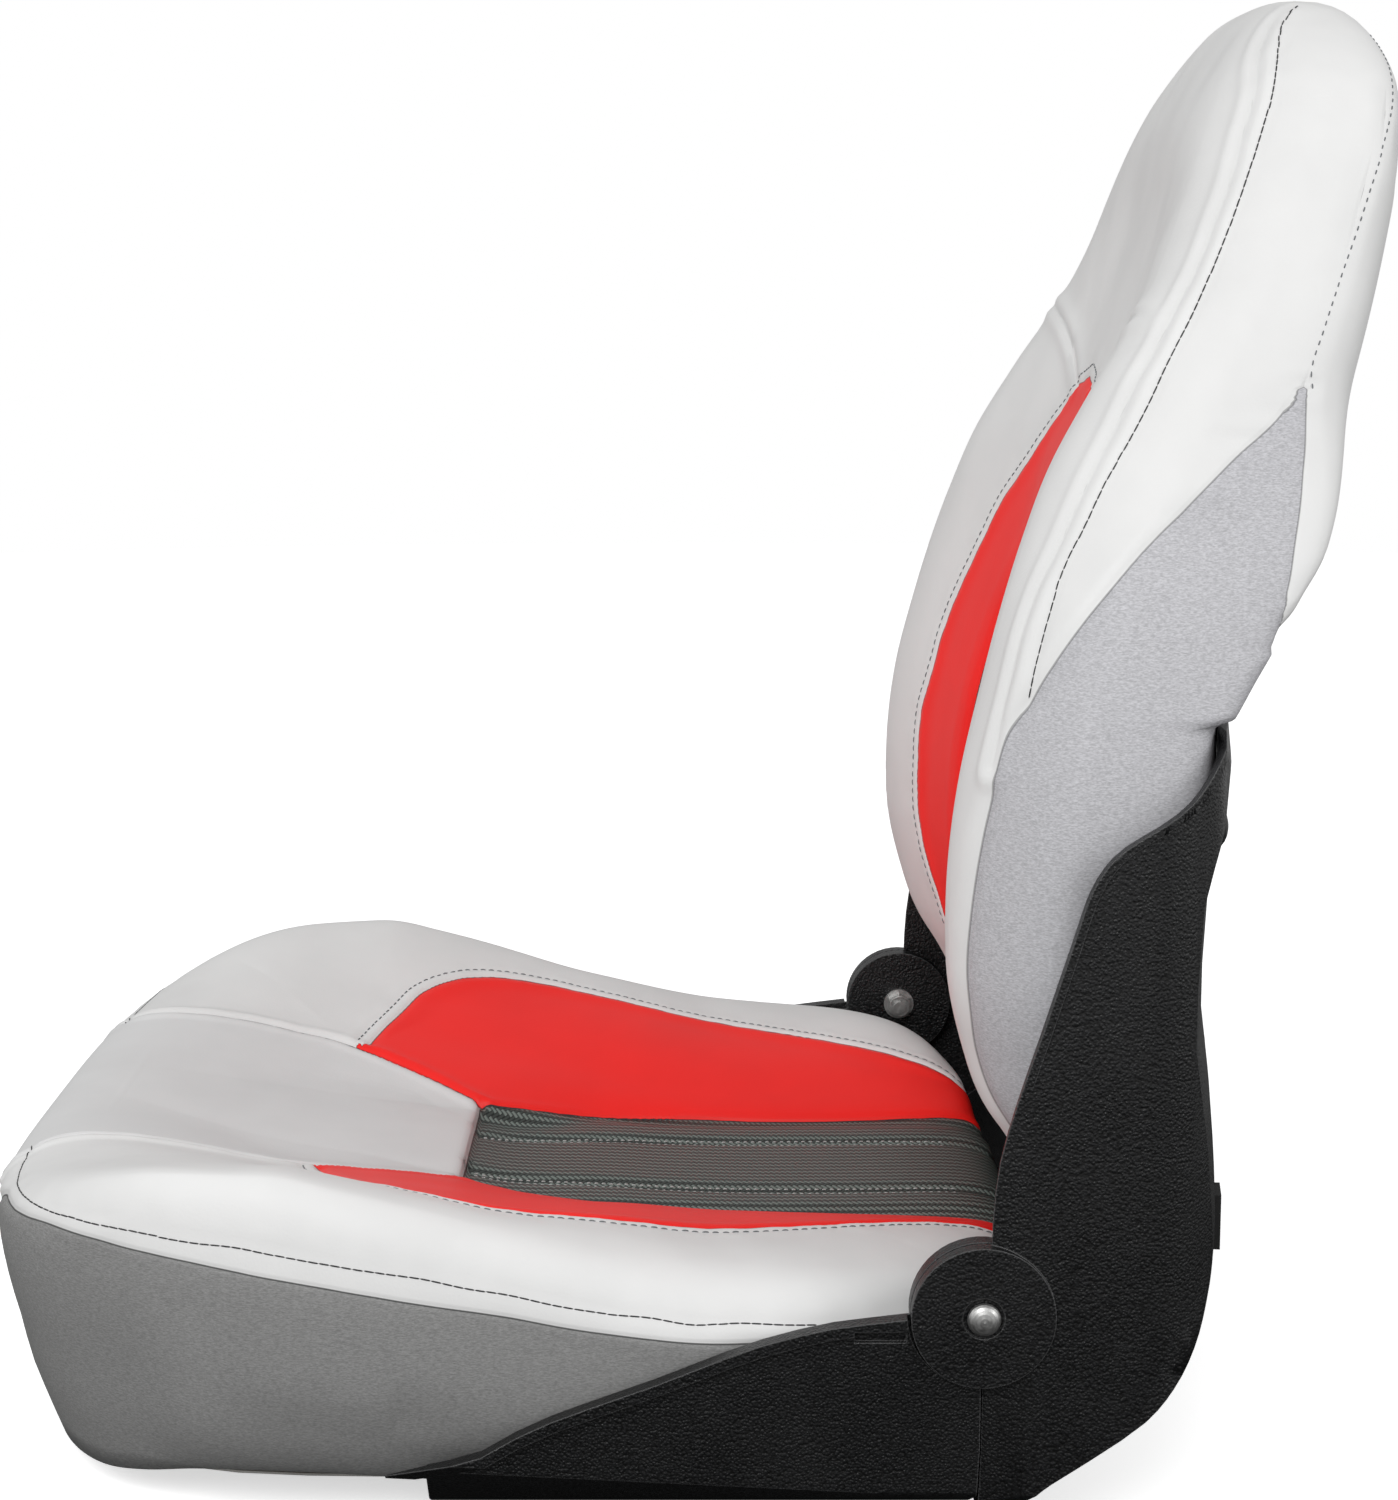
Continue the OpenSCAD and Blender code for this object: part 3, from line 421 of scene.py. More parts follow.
def on_back(front):
    """A front-view path laid on the back's front face."""
    x, z = front[:, 0], front[:, 1]
    return np.stack([x, back_front(x, z), z], -1)


# ---- Mesh helpers ---------------------------------------------------------------------------


def make_mesh(name, points_mm, faces):
    """A smooth-shaded mesh object at the origin, from points in millimetres and arrays of faces."""
    mesh = bpy.data.meshes.new(name)
    loops = np.concatenate([f.ravel() for f in faces]).astype(np.int32)
    sizes = np.concatenate([np.full(len(f), f.shape[1]) for f in faces])
    starts = np.concatenate([[0], np.cumsum(sizes)[:-1]]).astype(np.int32)
    mesh.vertices.add(len(points_mm))
    mesh.vertices.foreach_set("co", (points_mm * MM).astype(np.float32).ravel())
    mesh.loops.add(len(loops))
    mesh.loops.foreach_set("vertex_index", loops)
    mesh.polygons.add(len(sizes))
    mesh.polygons.foreach_set("loop_start", starts)
    mesh.polygons.foreach_set("use_smooth", np.ones(len(sizes), bool))
    mesh.update(calc_edges=True)
    mesh.validate()
    piece = bpy.data.objects.new(name, mesh)
    bpy.context.scene.collection.objects.link(piece)
    return piece


def read_points(mesh):
    """Points of a mesh in millimetres."""
    co = np.empty(len(mesh.vertices) * 3, np.float32)
    mesh.vertices.foreach_get("co", co)
    return co.reshape(-1, 3).astype(float) / MM


def read_normals(piece):
    """Smooth normals at the points of a piece."""
    normals = np.empty(len(piece.data.vertices) * 3, np.float32)
    piece.data.vertex_normals.foreach_get("vector", normals)
    return normals.reshape(-1, 3).astype(float)


def write_points(mesh, points_mm):
    """Moves the points of a mesh to the given places in millimetres."""
    mesh.vertices.foreach_set("co", (points_mm * MM).astype(np.float32).ravel())
    mesh.update()


def put_field(piece, name, values):
    """Stores one number per point, such as the distance to a seam in millimetres, for the materials to read."""
    piece.data.attributes.new(name, "FLOAT", "POINT").data.foreach_set("value", values.astype(np.float32))


def put_uv(piece, uv_mm):
    """A flat pattern map in metres, given per point."""
    loops = np.empty(len(piece.data.loops), np.int32)
    piece.data.loops.foreach_get("vertex_index", loops)
    layer = piece.data.uv_layers.new(name="pattern")
    layer.data.foreach_set("uv", (uv_mm[loops] * MM).astype(np.float32).ravel())


# ---- Threads --------------------------------------------------------------------------------


def stitch_shape(sides, rings):
    """One stitch from -1 to 1 along its length: a round thread whose radius closes at both ends as
    (1 - t^8)^(1/2).
    """
    t = np.linspace(-1, 1, rings)
    angle = np.linspace(0, 2 * np.pi, sides, endpoint=False)
    fat = np.sqrt(np.maximum(0.02, 1 - t ** 8))
    tt, aa = np.meshgrid(t, angle, indexing="ij")
    shape = np.stack([tt, np.cos(aa) * fat[:, None], np.sin(aa) * fat[:, None]], -1).reshape(-1, 3)
    k = np.arange(rings * sides).reshape(rings, sides)
    turn = np.roll(k, -1, axis=1)
    walls = np.stack([k[:-1], turn[:-1], turn[1:], k[1:]], -1).reshape(-1, 4)
    caps = np.stack([k[0][::-1], k[-1]])
    return shape, walls, caps


def stitch_row(path, pitch, surface):
    """Middles, directions and surface normals of the stitches a pitch apart along a path, set on the surface."""
    along = np.concatenate([[0], np.cumsum(np.linalg.norm(np.diff(path, axis=0), axis=1))])
    at = np.arange(pitch / 2, along[-1] - pitch / 2, pitch)
    mid = np.stack([np.interp(at, along, path[:, i]) for i in range(3)], -1)
    ahead = np.stack([np.interp(at + 1, along, path[:, i]) for i in range(3)], -1)
    tangent = ahead - mid
    found = [surface.find_nearest(tuple(p * MM)) for p in mid]
    place = np.array([f[0] for f in found]) / MM
    normal = np.array([f[1] for f in found], float)
    tangent -= (tangent * normal).sum(1)[:, None] * normal
    tangent /= np.linalg.norm(tangent, axis=1)[:, None] + 1e-9
    return place, tangent, normal


def threads(name, rows, length, radius, body, material, rise):
    """All stitches of one thread colour as one mesh: the stitch shape set at each place, its middle raised over its
    ends by rise * t^2, so that the ends dip under the surface.
    """
    place, tangent, normal = (np.concatenate([r[i] for r in rows]) for i in range(3))
    across = np.cross(normal, tangent)
    shape, walls, caps = stitch_shape(6, 7)
    t, wide, high = shape[:, 0], shape[:, 1] * radius, shape[:, 2] * radius + rise * (0.4 - shape[:, 0] ** 2)
    points = (place[:, None] + tangent[:, None] * (t * length / 2)[None, :, None]
              + across[:, None] * wide[None, :, None] + normal[:, None] * high[None, :, None])
    step = (np.arange(len(place)) * len(shape))[:, None, None]
    piece = make_mesh(name, points.reshape(-1, 3),
                      [(walls[None] + step).reshape(-1, 4), (caps[None] + step).reshape(-1, caps.shape[1])])
    piece.data.materials.append(material)
    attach(piece, body)


# ---- Material helpers -----------------------------------------------------------------------


class Net:
    """Adds nodes to a node tree and links them: an input is a number, a colour or another node's output."""

    def __init__(self, tree):
        self.tree = tree

    def tinted(self, colour, amount):
        """A colour times a number."""
        return self.add("ShaderNodeVectorMath", {0: tuple(colour), 1: amount}, operation="MULTIPLY").outputs[0]

    def give(self, made, inputs):
        """Sets inputs of a node: another node's output is linked, and anything else is the input's own value."""
        for key, value in inputs.items():
            socket = made.inputs[key]
            if isinstance(value, bpy.types.NodeSocket):
                self.tree.links.new(value, socket)
            else:
                socket.default_value = value
        return made

    def add(self, kind, inputs=None, **settings):
        made = self.tree.nodes.new(kind)
        for key, value in settings.items():
            setattr(made, key, value)
        return self.give(made, inputs or {})

    def math(self, operation, first, second=0.0, third=0.0):
        return self.add("ShaderNodeMath", {0: first, 1: second, 2: third}, operation=operation).outputs[0]

    def mix(self, share, first, second):
        made = self.add("ShaderNodeMix", {0: share, 6: first, 7: second}, data_type="RGBA")
        return made.outputs[2]

    def mix_value(self, share, first, second):
        return self.add("ShaderNodeMix", {0: share, 2: first, 3: second}).outputs[0]

    def ramp(self, value, low, high, start=0.0, end=1.0):
        """Maps low..high to start..end smoothly and holds the ends."""
        made = self.add("ShaderNodeMapRange", {0: value, 1: low, 2: high, 3: start, 4: end},
                        interpolation_type="SMOOTHSTEP")
        return made.outputs[0]

    def field(self, name):
        return self.add("ShaderNodeAttribute", attribute_name=name).outputs["Fac"]

    def place(self):
        return self.add("ShaderNodeTexCoord").outputs["Object"]

    def noise(self, vector, scale, detail=2.0, rough=0.5):
        return self.add("ShaderNodeTexNoise", {"Vector": vector, "Scale": scale, "Detail": detail,
                                               "Roughness": rough}).outputs[0]

    def cells(self, vector, scale):
        """How far each point lies from the middle of its rounded cell."""
        return self.add("ShaderNodeTexVoronoi", {"Vector": vector, "Scale": scale},
                        feature="SMOOTH_F1").outputs["Distance"]

    def stretched(self, vector, scale):
        return self.add("ShaderNodeMapping", {"Vector": vector, "Scale": scale}).outputs[0]

    def bump(self, height, strength, distance, normal=None):
        inputs = {"Height": height, "Strength": strength, "Distance": distance}
        if normal is not None:
            inputs["Normal"] = normal
        return self.add("ShaderNodeBump", inputs).outputs[0]

    def group(self, tree, **inputs):
        return self.add("ShaderNodeGroup", inputs, node_tree=tree).outputs


def new_group(name, inputs, outputs):
    """An empty shader node group with named inputs and outputs, and its input values."""
    tree = bpy.data.node_groups.new(name, "ShaderNodeTree")
    for label, kind, value in inputs:
        socket = tree.interface.new_socket(label, in_out="INPUT", socket_type=kind)
        if value is not None:
            socket.default_value = value
    for label, kind in outputs:
        tree.interface.new_socket(label, in_out="OUTPUT", socket_type=kind)
    net = Net(tree)
    return tree, net, net.add("NodeGroupInput").outputs, net.add("NodeGroupOutput")


def vinyl_grain_group():
    """Fine leather grain: small cells with soft valleys between, over a slow drift of tone."""
    tree, net, given, out = new_group(
        "vinyl grain", [("Vector", "NodeSocketVector", None), ("Cells", "NodeSocketFloat", 900.0)],
        [("Height", "NodeSocketFloat"), ("Tone", "NodeSocketFloat")])
    cells = net.cells(given["Vector"], given["Cells"])
    fine = net.noise(given["Vector"], 2400.0, 2.0)
    height = net.math("MULTIPLY_ADD", fine, 0.35, net.math("SUBTRACT", 1.0, cells))
    tone = net.noise(given["Vector"], 14.0, 3.0, 0.6)
    net.give(out, {"Height": height, "Tone": tone})
    return tree


def carbon_weave_group():
    """Two-by-two twill: two crossing sets of rounded threads, where one runs on top for two cells and under for
    two, one cell later on each row.
    """
    tree, net, given, out = new_group(
        "carbon weave", [("Vector", "NodeSocketVector", None), ("Cell", "NodeSocketFloat", 0.0018)],
        [("Warp", "NodeSocketFloat"), ("Height", "NodeSocketFloat")])
    axes = net.add("ShaderNodeSeparateXYZ", {0: given["Vector"]}).outputs
    turned_u = net.math("MULTIPLY", net.math("ADD", axes[0], axes[1]), 0.7071)
    turned_v = net.math("MULTIPLY", net.math("SUBTRACT", axes[0], axes[1]), 0.7071)
    u, v = net.math("DIVIDE", turned_u, given["Cell"]), net.math("DIVIDE", turned_v, given["Cell"])
    i, j = net.math("FLOOR", u), net.math("FLOOR", v)
    over = net.math("LESS_THAN", net.math("FLOORED_MODULO", net.math("ADD", i, j), 4.0), 2.0)

    def thread(value):
        return net.math("SINE", net.math("MULTIPLY", net.math("FRACT", value), np.pi))

    height = net.mix_value(over, thread(u), thread(v))
    net.give(out, {"Warp": over, "Height": height})
    return tree


def heather_group():
    """Woven backing cloth look: short streaks along the level direction and a fine crosswise thread."""
    tree, net, given, out = new_group(
        "heathered cloth", [("Vector", "NodeSocketVector", None)],
        [("Streaks", "NodeSocketFloat"), ("Height", "NodeSocketFloat")])
    long_way = net.noise(net.stretched(given["Vector"], (480.0, 480.0, 1900.0)), 1.0, 3.0, 0.65)
    fine = net.noise(net.stretched(given["Vector"], (900.0, 900.0, 2600.0)), 1.0, 2.0)
    streaks = net.math("ADD", net.math("MULTIPLY", long_way, 0.65), net.math("MULTIPLY", fine, 0.35))
    net.give(out, {"Streaks": streaks, "Height": fine})
    return tree


def pebble_grain_group():
    """Moulded leather-like texture of hard plastic: rounded pebbles of two sizes."""
    tree, net, given, out = new_group(
        "pebble grain", [("Vector", "NodeSocketVector", None), ("Cells", "NodeSocketFloat", 620.0)],
        [("Height", "NodeSocketFloat"), ("Shine", "NodeSocketFloat")])
    cells = net.cells(given["Vector"], given["Cells"])
    fine = net.noise(given["Vector"], 1500.0, 2.0)
    height = net.math("MULTIPLY_ADD", fine, 0.4, net.math("SUBTRACT", 1.0, cells))
    shine = net.noise(given["Vector"], 30.0, 4.0, 0.6)
    net.give(out, {"Height": height, "Shine": shine})
    return tree


def panel_seam_group():
    """One sewn edge from its signed distance in millimetres: which side a point is on, a thin line on the seam for
    painted shade in its groove, and the padding that rises away from it.
    """
    tree, net, given, out = new_group(
        "panel seam", [("Distance", "NodeSocketFloat", 0.0), ("Line", "NodeSocketFloat", 0.45)],
        [("Inside", "NodeSocketFloat"), ("Line", "NodeSocketFloat"), ("Height", "NodeSocketFloat")])
    side = net.ramp(given["Distance"], -0.12, 0.12)
    away = net.math("ABSOLUTE", given["Distance"])
    line = net.math("SUBTRACT", 1.0, net.ramp(away, net.math("MULTIPLY", given["Line"], 0.5), given["Line"]))
    height = net.ramp(away, 0.0, 2.2)
    net.give(out, {"Inside": side, "Line": line, "Height": height})
    return tree


def principled(name):
    """A new material with one principled shader: the material, its net and the shader."""
    material = bpy.data.materials.new(name)
    material.use_nodes = True
    tree = material.node_tree
    tree.nodes.clear()
    net = Net(tree)
    shader = net.add("ShaderNodeBsdfPrincipled")
    out = net.add("ShaderNodeOutputMaterial")
    tree.links.new(shader.outputs[0], out.inputs[0])
    return material, net, shader


def colour_property(name, description, default):
    return FloatVectorProperty(name=name, description=description, default=default, size=3, subtype="COLOR",
                               min=0.0, max=1.0)


class BoatSeatColours(bpy.types.PropertyGroup):
    light: colour_property("Light vinyl", "Side bolsters and headrest", (0.76, 0.76, 0.755))
    silver: colour_property("Silver vinyl", "Front panel of the seat", (0.71, 0.71, 0.71))
    red: colour_property("Red vinyl", "Curved strips on the seat and back", (0.96, 0.016, 0.012))
    dark: colour_property("Carbon vinyl", "Woven-look middle panels", (0.088, 0.105, 0.096))
    boxing: colour_property("Seat side cloth", "Band round the seat's side", (0.25, 0.25, 0.247))
    side: colour_property("Back side cloth", "Side panels of the back", (0.49, 0.488, 0.51))
    plastic: colour_property("Moulded plastic", "Seat pan and back shell", (0.0034, 0.0036, 0.004))


class BoatSeatSizes(bpy.types.PropertyGroup):
    cover_steps: IntProperty(name="Cover steps", description="Mesh steps across each padded cover", default=280,
                             min=40, max=400)
    seam_depth: FloatProperty(name="Seam depth", description="How deep the sewn seams pull into the padding",
                              default=0.0016, min=0.0, max=0.006, unit="LENGTH")
    swell: FloatProperty(name="Swell", description="Most that the padding may press the covers outwards",
                         default=0.003, min=0.0, max=0.016, unit="LENGTH")
    rib_depth: FloatProperty(name="Channel depth", description="Depth of the two sewn channels in the middle",
                             default=0.0024, min=0.0, max=0.01, unit="LENGTH")
    stitch_pitch: FloatProperty(name="Stitch pitch", description="Length of thread from one stitch to the next",
                                default=0.0043, min=0.002, max=0.01, unit="LENGTH")
    thread_radius: FloatProperty(name="Thread radius", description="Half the thickness of the sewing thread",
                                 default=0.00036, min=0.0001, max=0.001, unit="LENGTH")


# ---- Cover materials ------------------------------------------------------------------------


def cover_material(name, colours, tints, seam_fields):
    """Vinyl of a cover: each tint is a field of signed distance, a colour and a kind of surface, laid over the
    light vinyl in order. Each seam field is a name, how dark its painted groove shade is and how much it lifts.
    """
    material, net, shader = principled(name)
    place = net.place()
    pattern = net.add("ShaderNodeUVMap", uv_map="pattern").outputs[0]
    grain = net.group(vinyl_grain_group(), Vector=place)
    weave = net.group(carbon_weave_group(), Vector=pattern)
    heather = net.group(heather_group(), Vector=place)
    seam = panel_seam_group()
    tone = net.ramp(grain["Tone"], 0.3, 0.7, 0.965, 1.02)

    colour = net.tinted(colours.light, tone)
    rough = net.ramp(grain["Tone"], 0.3, 0.7, 0.44, 0.5)
    height = net.math("MULTIPLY", grain["Height"], 0.045)
    for field, tint, finish in tints:
        edge = net.group(seam, Distance=net.field(field))
        share = edge["Inside"]
        if finish == "weave":
            # Painted sheen lightens the crowns of the threads; one thread direction is lighter than the other as the
            # weave's pattern
            painted_crown_sheen = net.ramp(weave["Height"], 0.1, 1.0, 0.3, 1.2)
            lit = net.mix_value(weave["Warp"], net.math("MULTIPLY", painted_crown_sheen, 0.45), net.math("MULTIPLY", painted_crown_sheen, 1.7))
            here, here_rough, here_height = net.tinted(tint, lit), 0.42, net.math("MULTIPLY", weave["Height"], 0.16)
        elif finish == "heather":
            lit = net.ramp(heather["Streaks"], 0.32, 0.68, 0.78, 1.22)
            here, here_rough, here_height = net.tinted(tint, lit), 0.62, net.math("MULTIPLY", heather["Height"], 0.14)
        else:
            here, here_rough, here_height = net.tinted(tint, tone), 0.46, net.math("MULTIPLY", grain["Height"], 0.045)
        colour = net.mix(share, colour, here)
        rough = net.mix_value(share, rough, here_rough)
        height = net.mix_value(share, height, here_height)
    # Painted shade: a near-black line along each seam stands in for the shade in its groove
    for field, painted_groove_shade, lift in seam_fields:
        edge = net.group(seam, Distance=net.field(field))
        colour = net.mix(net.math("MULTIPLY", edge["Line"], painted_groove_shade), colour, (0.03, 0.03, 0.03, 1))
        height = net.math("MULTIPLY_ADD", edge["Height"], lift, height)
    net.give(shader, {"Base Color": colour, "Roughness": rough, "Normal": net.bump(height, 0.8, 0.001),
                      "Specular IOR Level": 0.3})
    return material


BLACK_THREAD, SLATE_THREAD, PALE_THREAD = (0.03, 0.03, 0.032), (0.16, 0.17, 0.18), (0.42, 0.42, 0.41)


def thread_material(name, colour):
    """Spun sewing thread: a fine twist of light and dark along it."""
    material, net, shader = principled(name)
    twist = net.noise(net.place(), 2600.0, 2.0)
    lit = net.ramp(twist, 0.35, 0.65, 0.75, 1.15)
    net.give(shader, {"Base Color": net.tinted(colour, lit), "Normal": net.bump(twist, 0.5, 0.0001),
                      "Roughness": 0.6})
    return material


# ---- Padded covers --------------------------------------------------------------------------


def groove(distance, width):
    """Bell-shaped share that is 1 on a seam and fades over its width: exp(-(d/width)^2)."""
    return np.exp(-(distance / width) ** 2)


def pucker(along, distance, reach):
    """Small gathers of the vinyl between stitches: two sines along the seam, strongest a little away from it."""
    wave = np.sin(along / 2.9) * 0.6 + np.sin(along / 4.7 + 1.3) * 0.4
    return wave * np.exp(-((distance - reach) / reach) ** 2)


def beside(path, away):
    """A plan path moved sideways to its outer side."""
    along = np.gradient(path, axis=0)
    along /= np.linalg.norm(along, axis=1)[:, None]
    out = np.stack([along[:, 1], -along[:, 0]], -1)
    out *= np.sign(out[len(out) // 2, 0])
    return path + out * away


def sew(piece, sizes, body, rows):
    """Sews each row onto the cover: a name, its paths, the spacing and length of a stitch as shares of the pitch,
    the thickness as a share of the thread's, a material and how much its middle is raised.
    """
    surface = BVHTree.FromObject(piece, bpy.context.evaluated_depsgraph_get())
    pitch, radius = sizes.stitch_pitch / MM, sizes.thread_radius / MM
    for name, paths, spacing, length, thickness, material, rise in rows:
        threads(name, [stitch_row(path, pitch * spacing, surface) for path in paths],
                pitch * length, radius * thickness, body, material, rise)


def both_sides(path):
    """A path in space and its mirror image."""
    return [path * np.array([1, 1, 1]), path * np.array([-1, 1, 1])]


class BOATSEAT_OT_seat_cover(bpy.types.Operator):
    """Makes the padded cover of the seat, with its panels, seams and threads"""
    bl_idname = "boatseat.seat_cover"
    bl_label = "Seat Cover"

    def execute(self, context):
        sizes, colours = context.scene.boat_seat_sizes, context.scene.boat_seat_colours
        rings = [1, 0.998, 0.994, 0.988, 0.98, 0.97, 0.958, 0.945, 0.93, 0.915, 0.9, 0.887, 0.878, 0.874, 0.87, 0.85,
                 0.6, 0.3]
        points, faces = cover_mesh(seat_cover, sizes.cover_steps, rings)
        piece = make_mesh("seat_cushion_cover", points, faces)
        normals = read_normals(piece)
        half = mirrored(points)
        x, y, z = half.T
        top = normals[:, 2] > -0.2
        silver_path, dark_path, red_path = (dense_path(p, PATH_STEP) for p in (SILVER_SEAM, DARK_RED_SEAM, RED_SEAM))
        front_edge = np.array([(0.0, -105.0), (60.4, -105.0)])
        outlines = {
            "silver": np.concatenate([[(0, -105)], silver_path[::-1], [(116, -320), (0, -320)]]),
            "dark": np.concatenate([[(0, -105)], dark_path, [(84, 200), (0, 200)]]),
            "red": np.concatenate([[(60.4, -105), (99.5, -170)], red_path, [(118, 200), (84, 200)], dark_path[::-1]]),
        }
        gap = {}
        for name, path in {"silver_line": silver_path, "dark_line": dark_path, "red_line": red_path,
                           "front_line": dense_path(front_edge, PATH_STEP)}.items():
            gap[name] = seam_distance(half, on_seat(path))
        outer_side = (x > curve(SEAT_CREST_X, y)) | (y < -262) | (z < 60) | (normals[:, 2] < 0.1)
        front_drop = 11 * smooth_step((165 - x) / 40) * smooth_step((-255 - y) / 15)
        boxing = np.where(outer_side, z - curve(BOXING_Z, y) + front_drop, FAR)
        edges = {"silver": ("silver_line", "front_line"), "dark": ("dark_line", "front_line"),
                 "red": ("red_line", "dark_line", "silver_line")}
        for name, outline in outlines.items():
            near = np.minimum.reduce([gap[e][0] for e in edges[name]])
            shown = np.where(inside(x, y, outline) & top, near, -near)
            if name == "silver":
                shown = np.minimum(shown, boxing)
            put_field(piece, name, shown)
        put_field(piece, "boxing", -boxing)
        rib = np.where((y > -106) & top, abs(x - curve(SEAT_RIB_X, y)), FAR)
        put_field(piece, "rib", rib)
        put_uv(piece, points[:, :2])
        outer_path = dense_path(OUTER_STITCH, PATH_STEP)
        outer, outer_at = seam_distance(half, outer_path)
        stitch_path = on_seat(beside(red_path, RED_STITCH_AWAY_SEAT))
        inner, inner_at = seam_distance(half, stitch_path)
        depth = sizes.seam_depth / MM
        lift = np.zeros(len(points))
        for name in ("dark_line", "red_line", "front_line", "silver_line"):
            lift -= depth * groove(gap[name][0], SEAM_WIDTH) * top
        lift += 0.9 * groove(gap["silver_line"][0] - 4, 3.0) * top
        lift -= depth * 0.8 * groove(boxing, 2.2)
        lift += 0.5 * groove(boxing - 3.4, 2.6)
        lift += MIDDLE_LIFT * smooth_step((70 - x) / 14) * smooth_step((y + 70) / 40) * top
        lift -= (MIDDLE_DIP * smooth_step((64 - x) / 12) * smooth_step((y + 107) / 5)
                 * smooth_step((-50 - y) / 45) * top)
        lift += (CREST_LIFT * smooth_step((x - 150) / 50) * smooth_step((y + 200) / 40)
                 * smooth_step((-60 - y) / 60) * top)
        lift -= sizes.rib_depth / MM * groove(rib, 5.0)
        lift -= 0.7 * groove(outer, STITCH_WIDTH) + STITCH_DEPTH * groove(inner, STITCH_WIDTH) * top
        lift += (PUCKER_HEIGHT * pucker(outer_at, outer, PUCKER_REACH)
                 + PUCKER_HEIGHT * pucker(inner_at, inner, PUCKER_REACH) * top)
        lift += 0.12 * pucker(gap["silver_line"][1], gap["silver_line"][0], 5.0) * top
        bulge = np.sin(points[:, 0] / 31.0 + 1.0) * np.sin(points[:, 1] / 27.0) * 0.35
        lift += bulge * (boxing < -8) * smooth_step((z - 30) / 20)
        points = points + normals * lift[:, None]
        points += swelling(seat_cover, sizes.cover_steps, rings, self.held, sizes.swell / MM)
        points -= normals * (DRAWN_IN * sizes.swell / MM * (1 - self.held(half)))[:, None]
        write_points(piece.data, points)
        piece.data.materials.append(cover_material(
            "seat cover vinyl", colours,
            [("silver", colours.silver, "vinyl"), ("red", colours.red, "vinyl"), ("dark", colours.dark, "weave"),
             ("boxing", colours.boxing, "heather")],
            # Seam fields: name, strength of the painted shade in its groove, lift
            [("silver", 0.35, 0.5), ("red", 0.75, 0.4), ("dark", 0.9, 0.4), ("boxing", 0.85, 0.4),
             ("rib", 0.6, 0.3)]))
        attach(piece, "base")
        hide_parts("seat_cushion")
        sew(piece, sizes, "base", self.rows(outer_path, stitch_path))
        return {"FINISHED"}

    @staticmethod
    def held(points):
        """1 on the seams and where the cushion sits in the pan, fading out between them."""
        half = mirrored(points)
        paths = [on_seat(dense_path(p, HELD_STEP)) for p in (SILVER_SEAM, DARK_RED_SEAM, RED_SEAM)]
        seam = np.minimum.reduce([seam_distance(half, p)[0] for p in paths])
        side = abs(half[:, 2] - curve(BOXING_Z, half[:, 1]))
        return np.maximum.reduce([groove(seam, 8.0), groove(side, 6.0), smooth_step((62 - half[:, 2]) / 20)])

    @staticmethod
    def rows(outer_path, stitch_path):
        """The rows of thread for sew(): the outer topstitch, the row beside the red panel and the two channels."""
        along = np.linspace(-103, 118, 60)
        ribs = [np.stack([side * (curve(SEAT_RIB_X, along) + off), along, np.full(60, 80.0)], -1)
                for side in (1, -1) for off in (-1.8, 1.8)]
        dark = thread_material("black thread", BLACK_THREAD)
        slate = thread_material("slate thread", SLATE_THREAD)
        pale = thread_material("pale thread", PALE_THREAD)
        return [("seat_topstitch", both_sides(outer_path), 1, 1.02, 0.85, dark, 0.08),
                ("seat_red_stitch", both_sides(stitch_path), 1, 0.78, 1, slate, 0.35),
                ("seat_rib_stitch", ribs, 0.8, 0.5, 1.1, pale, 0.35)]


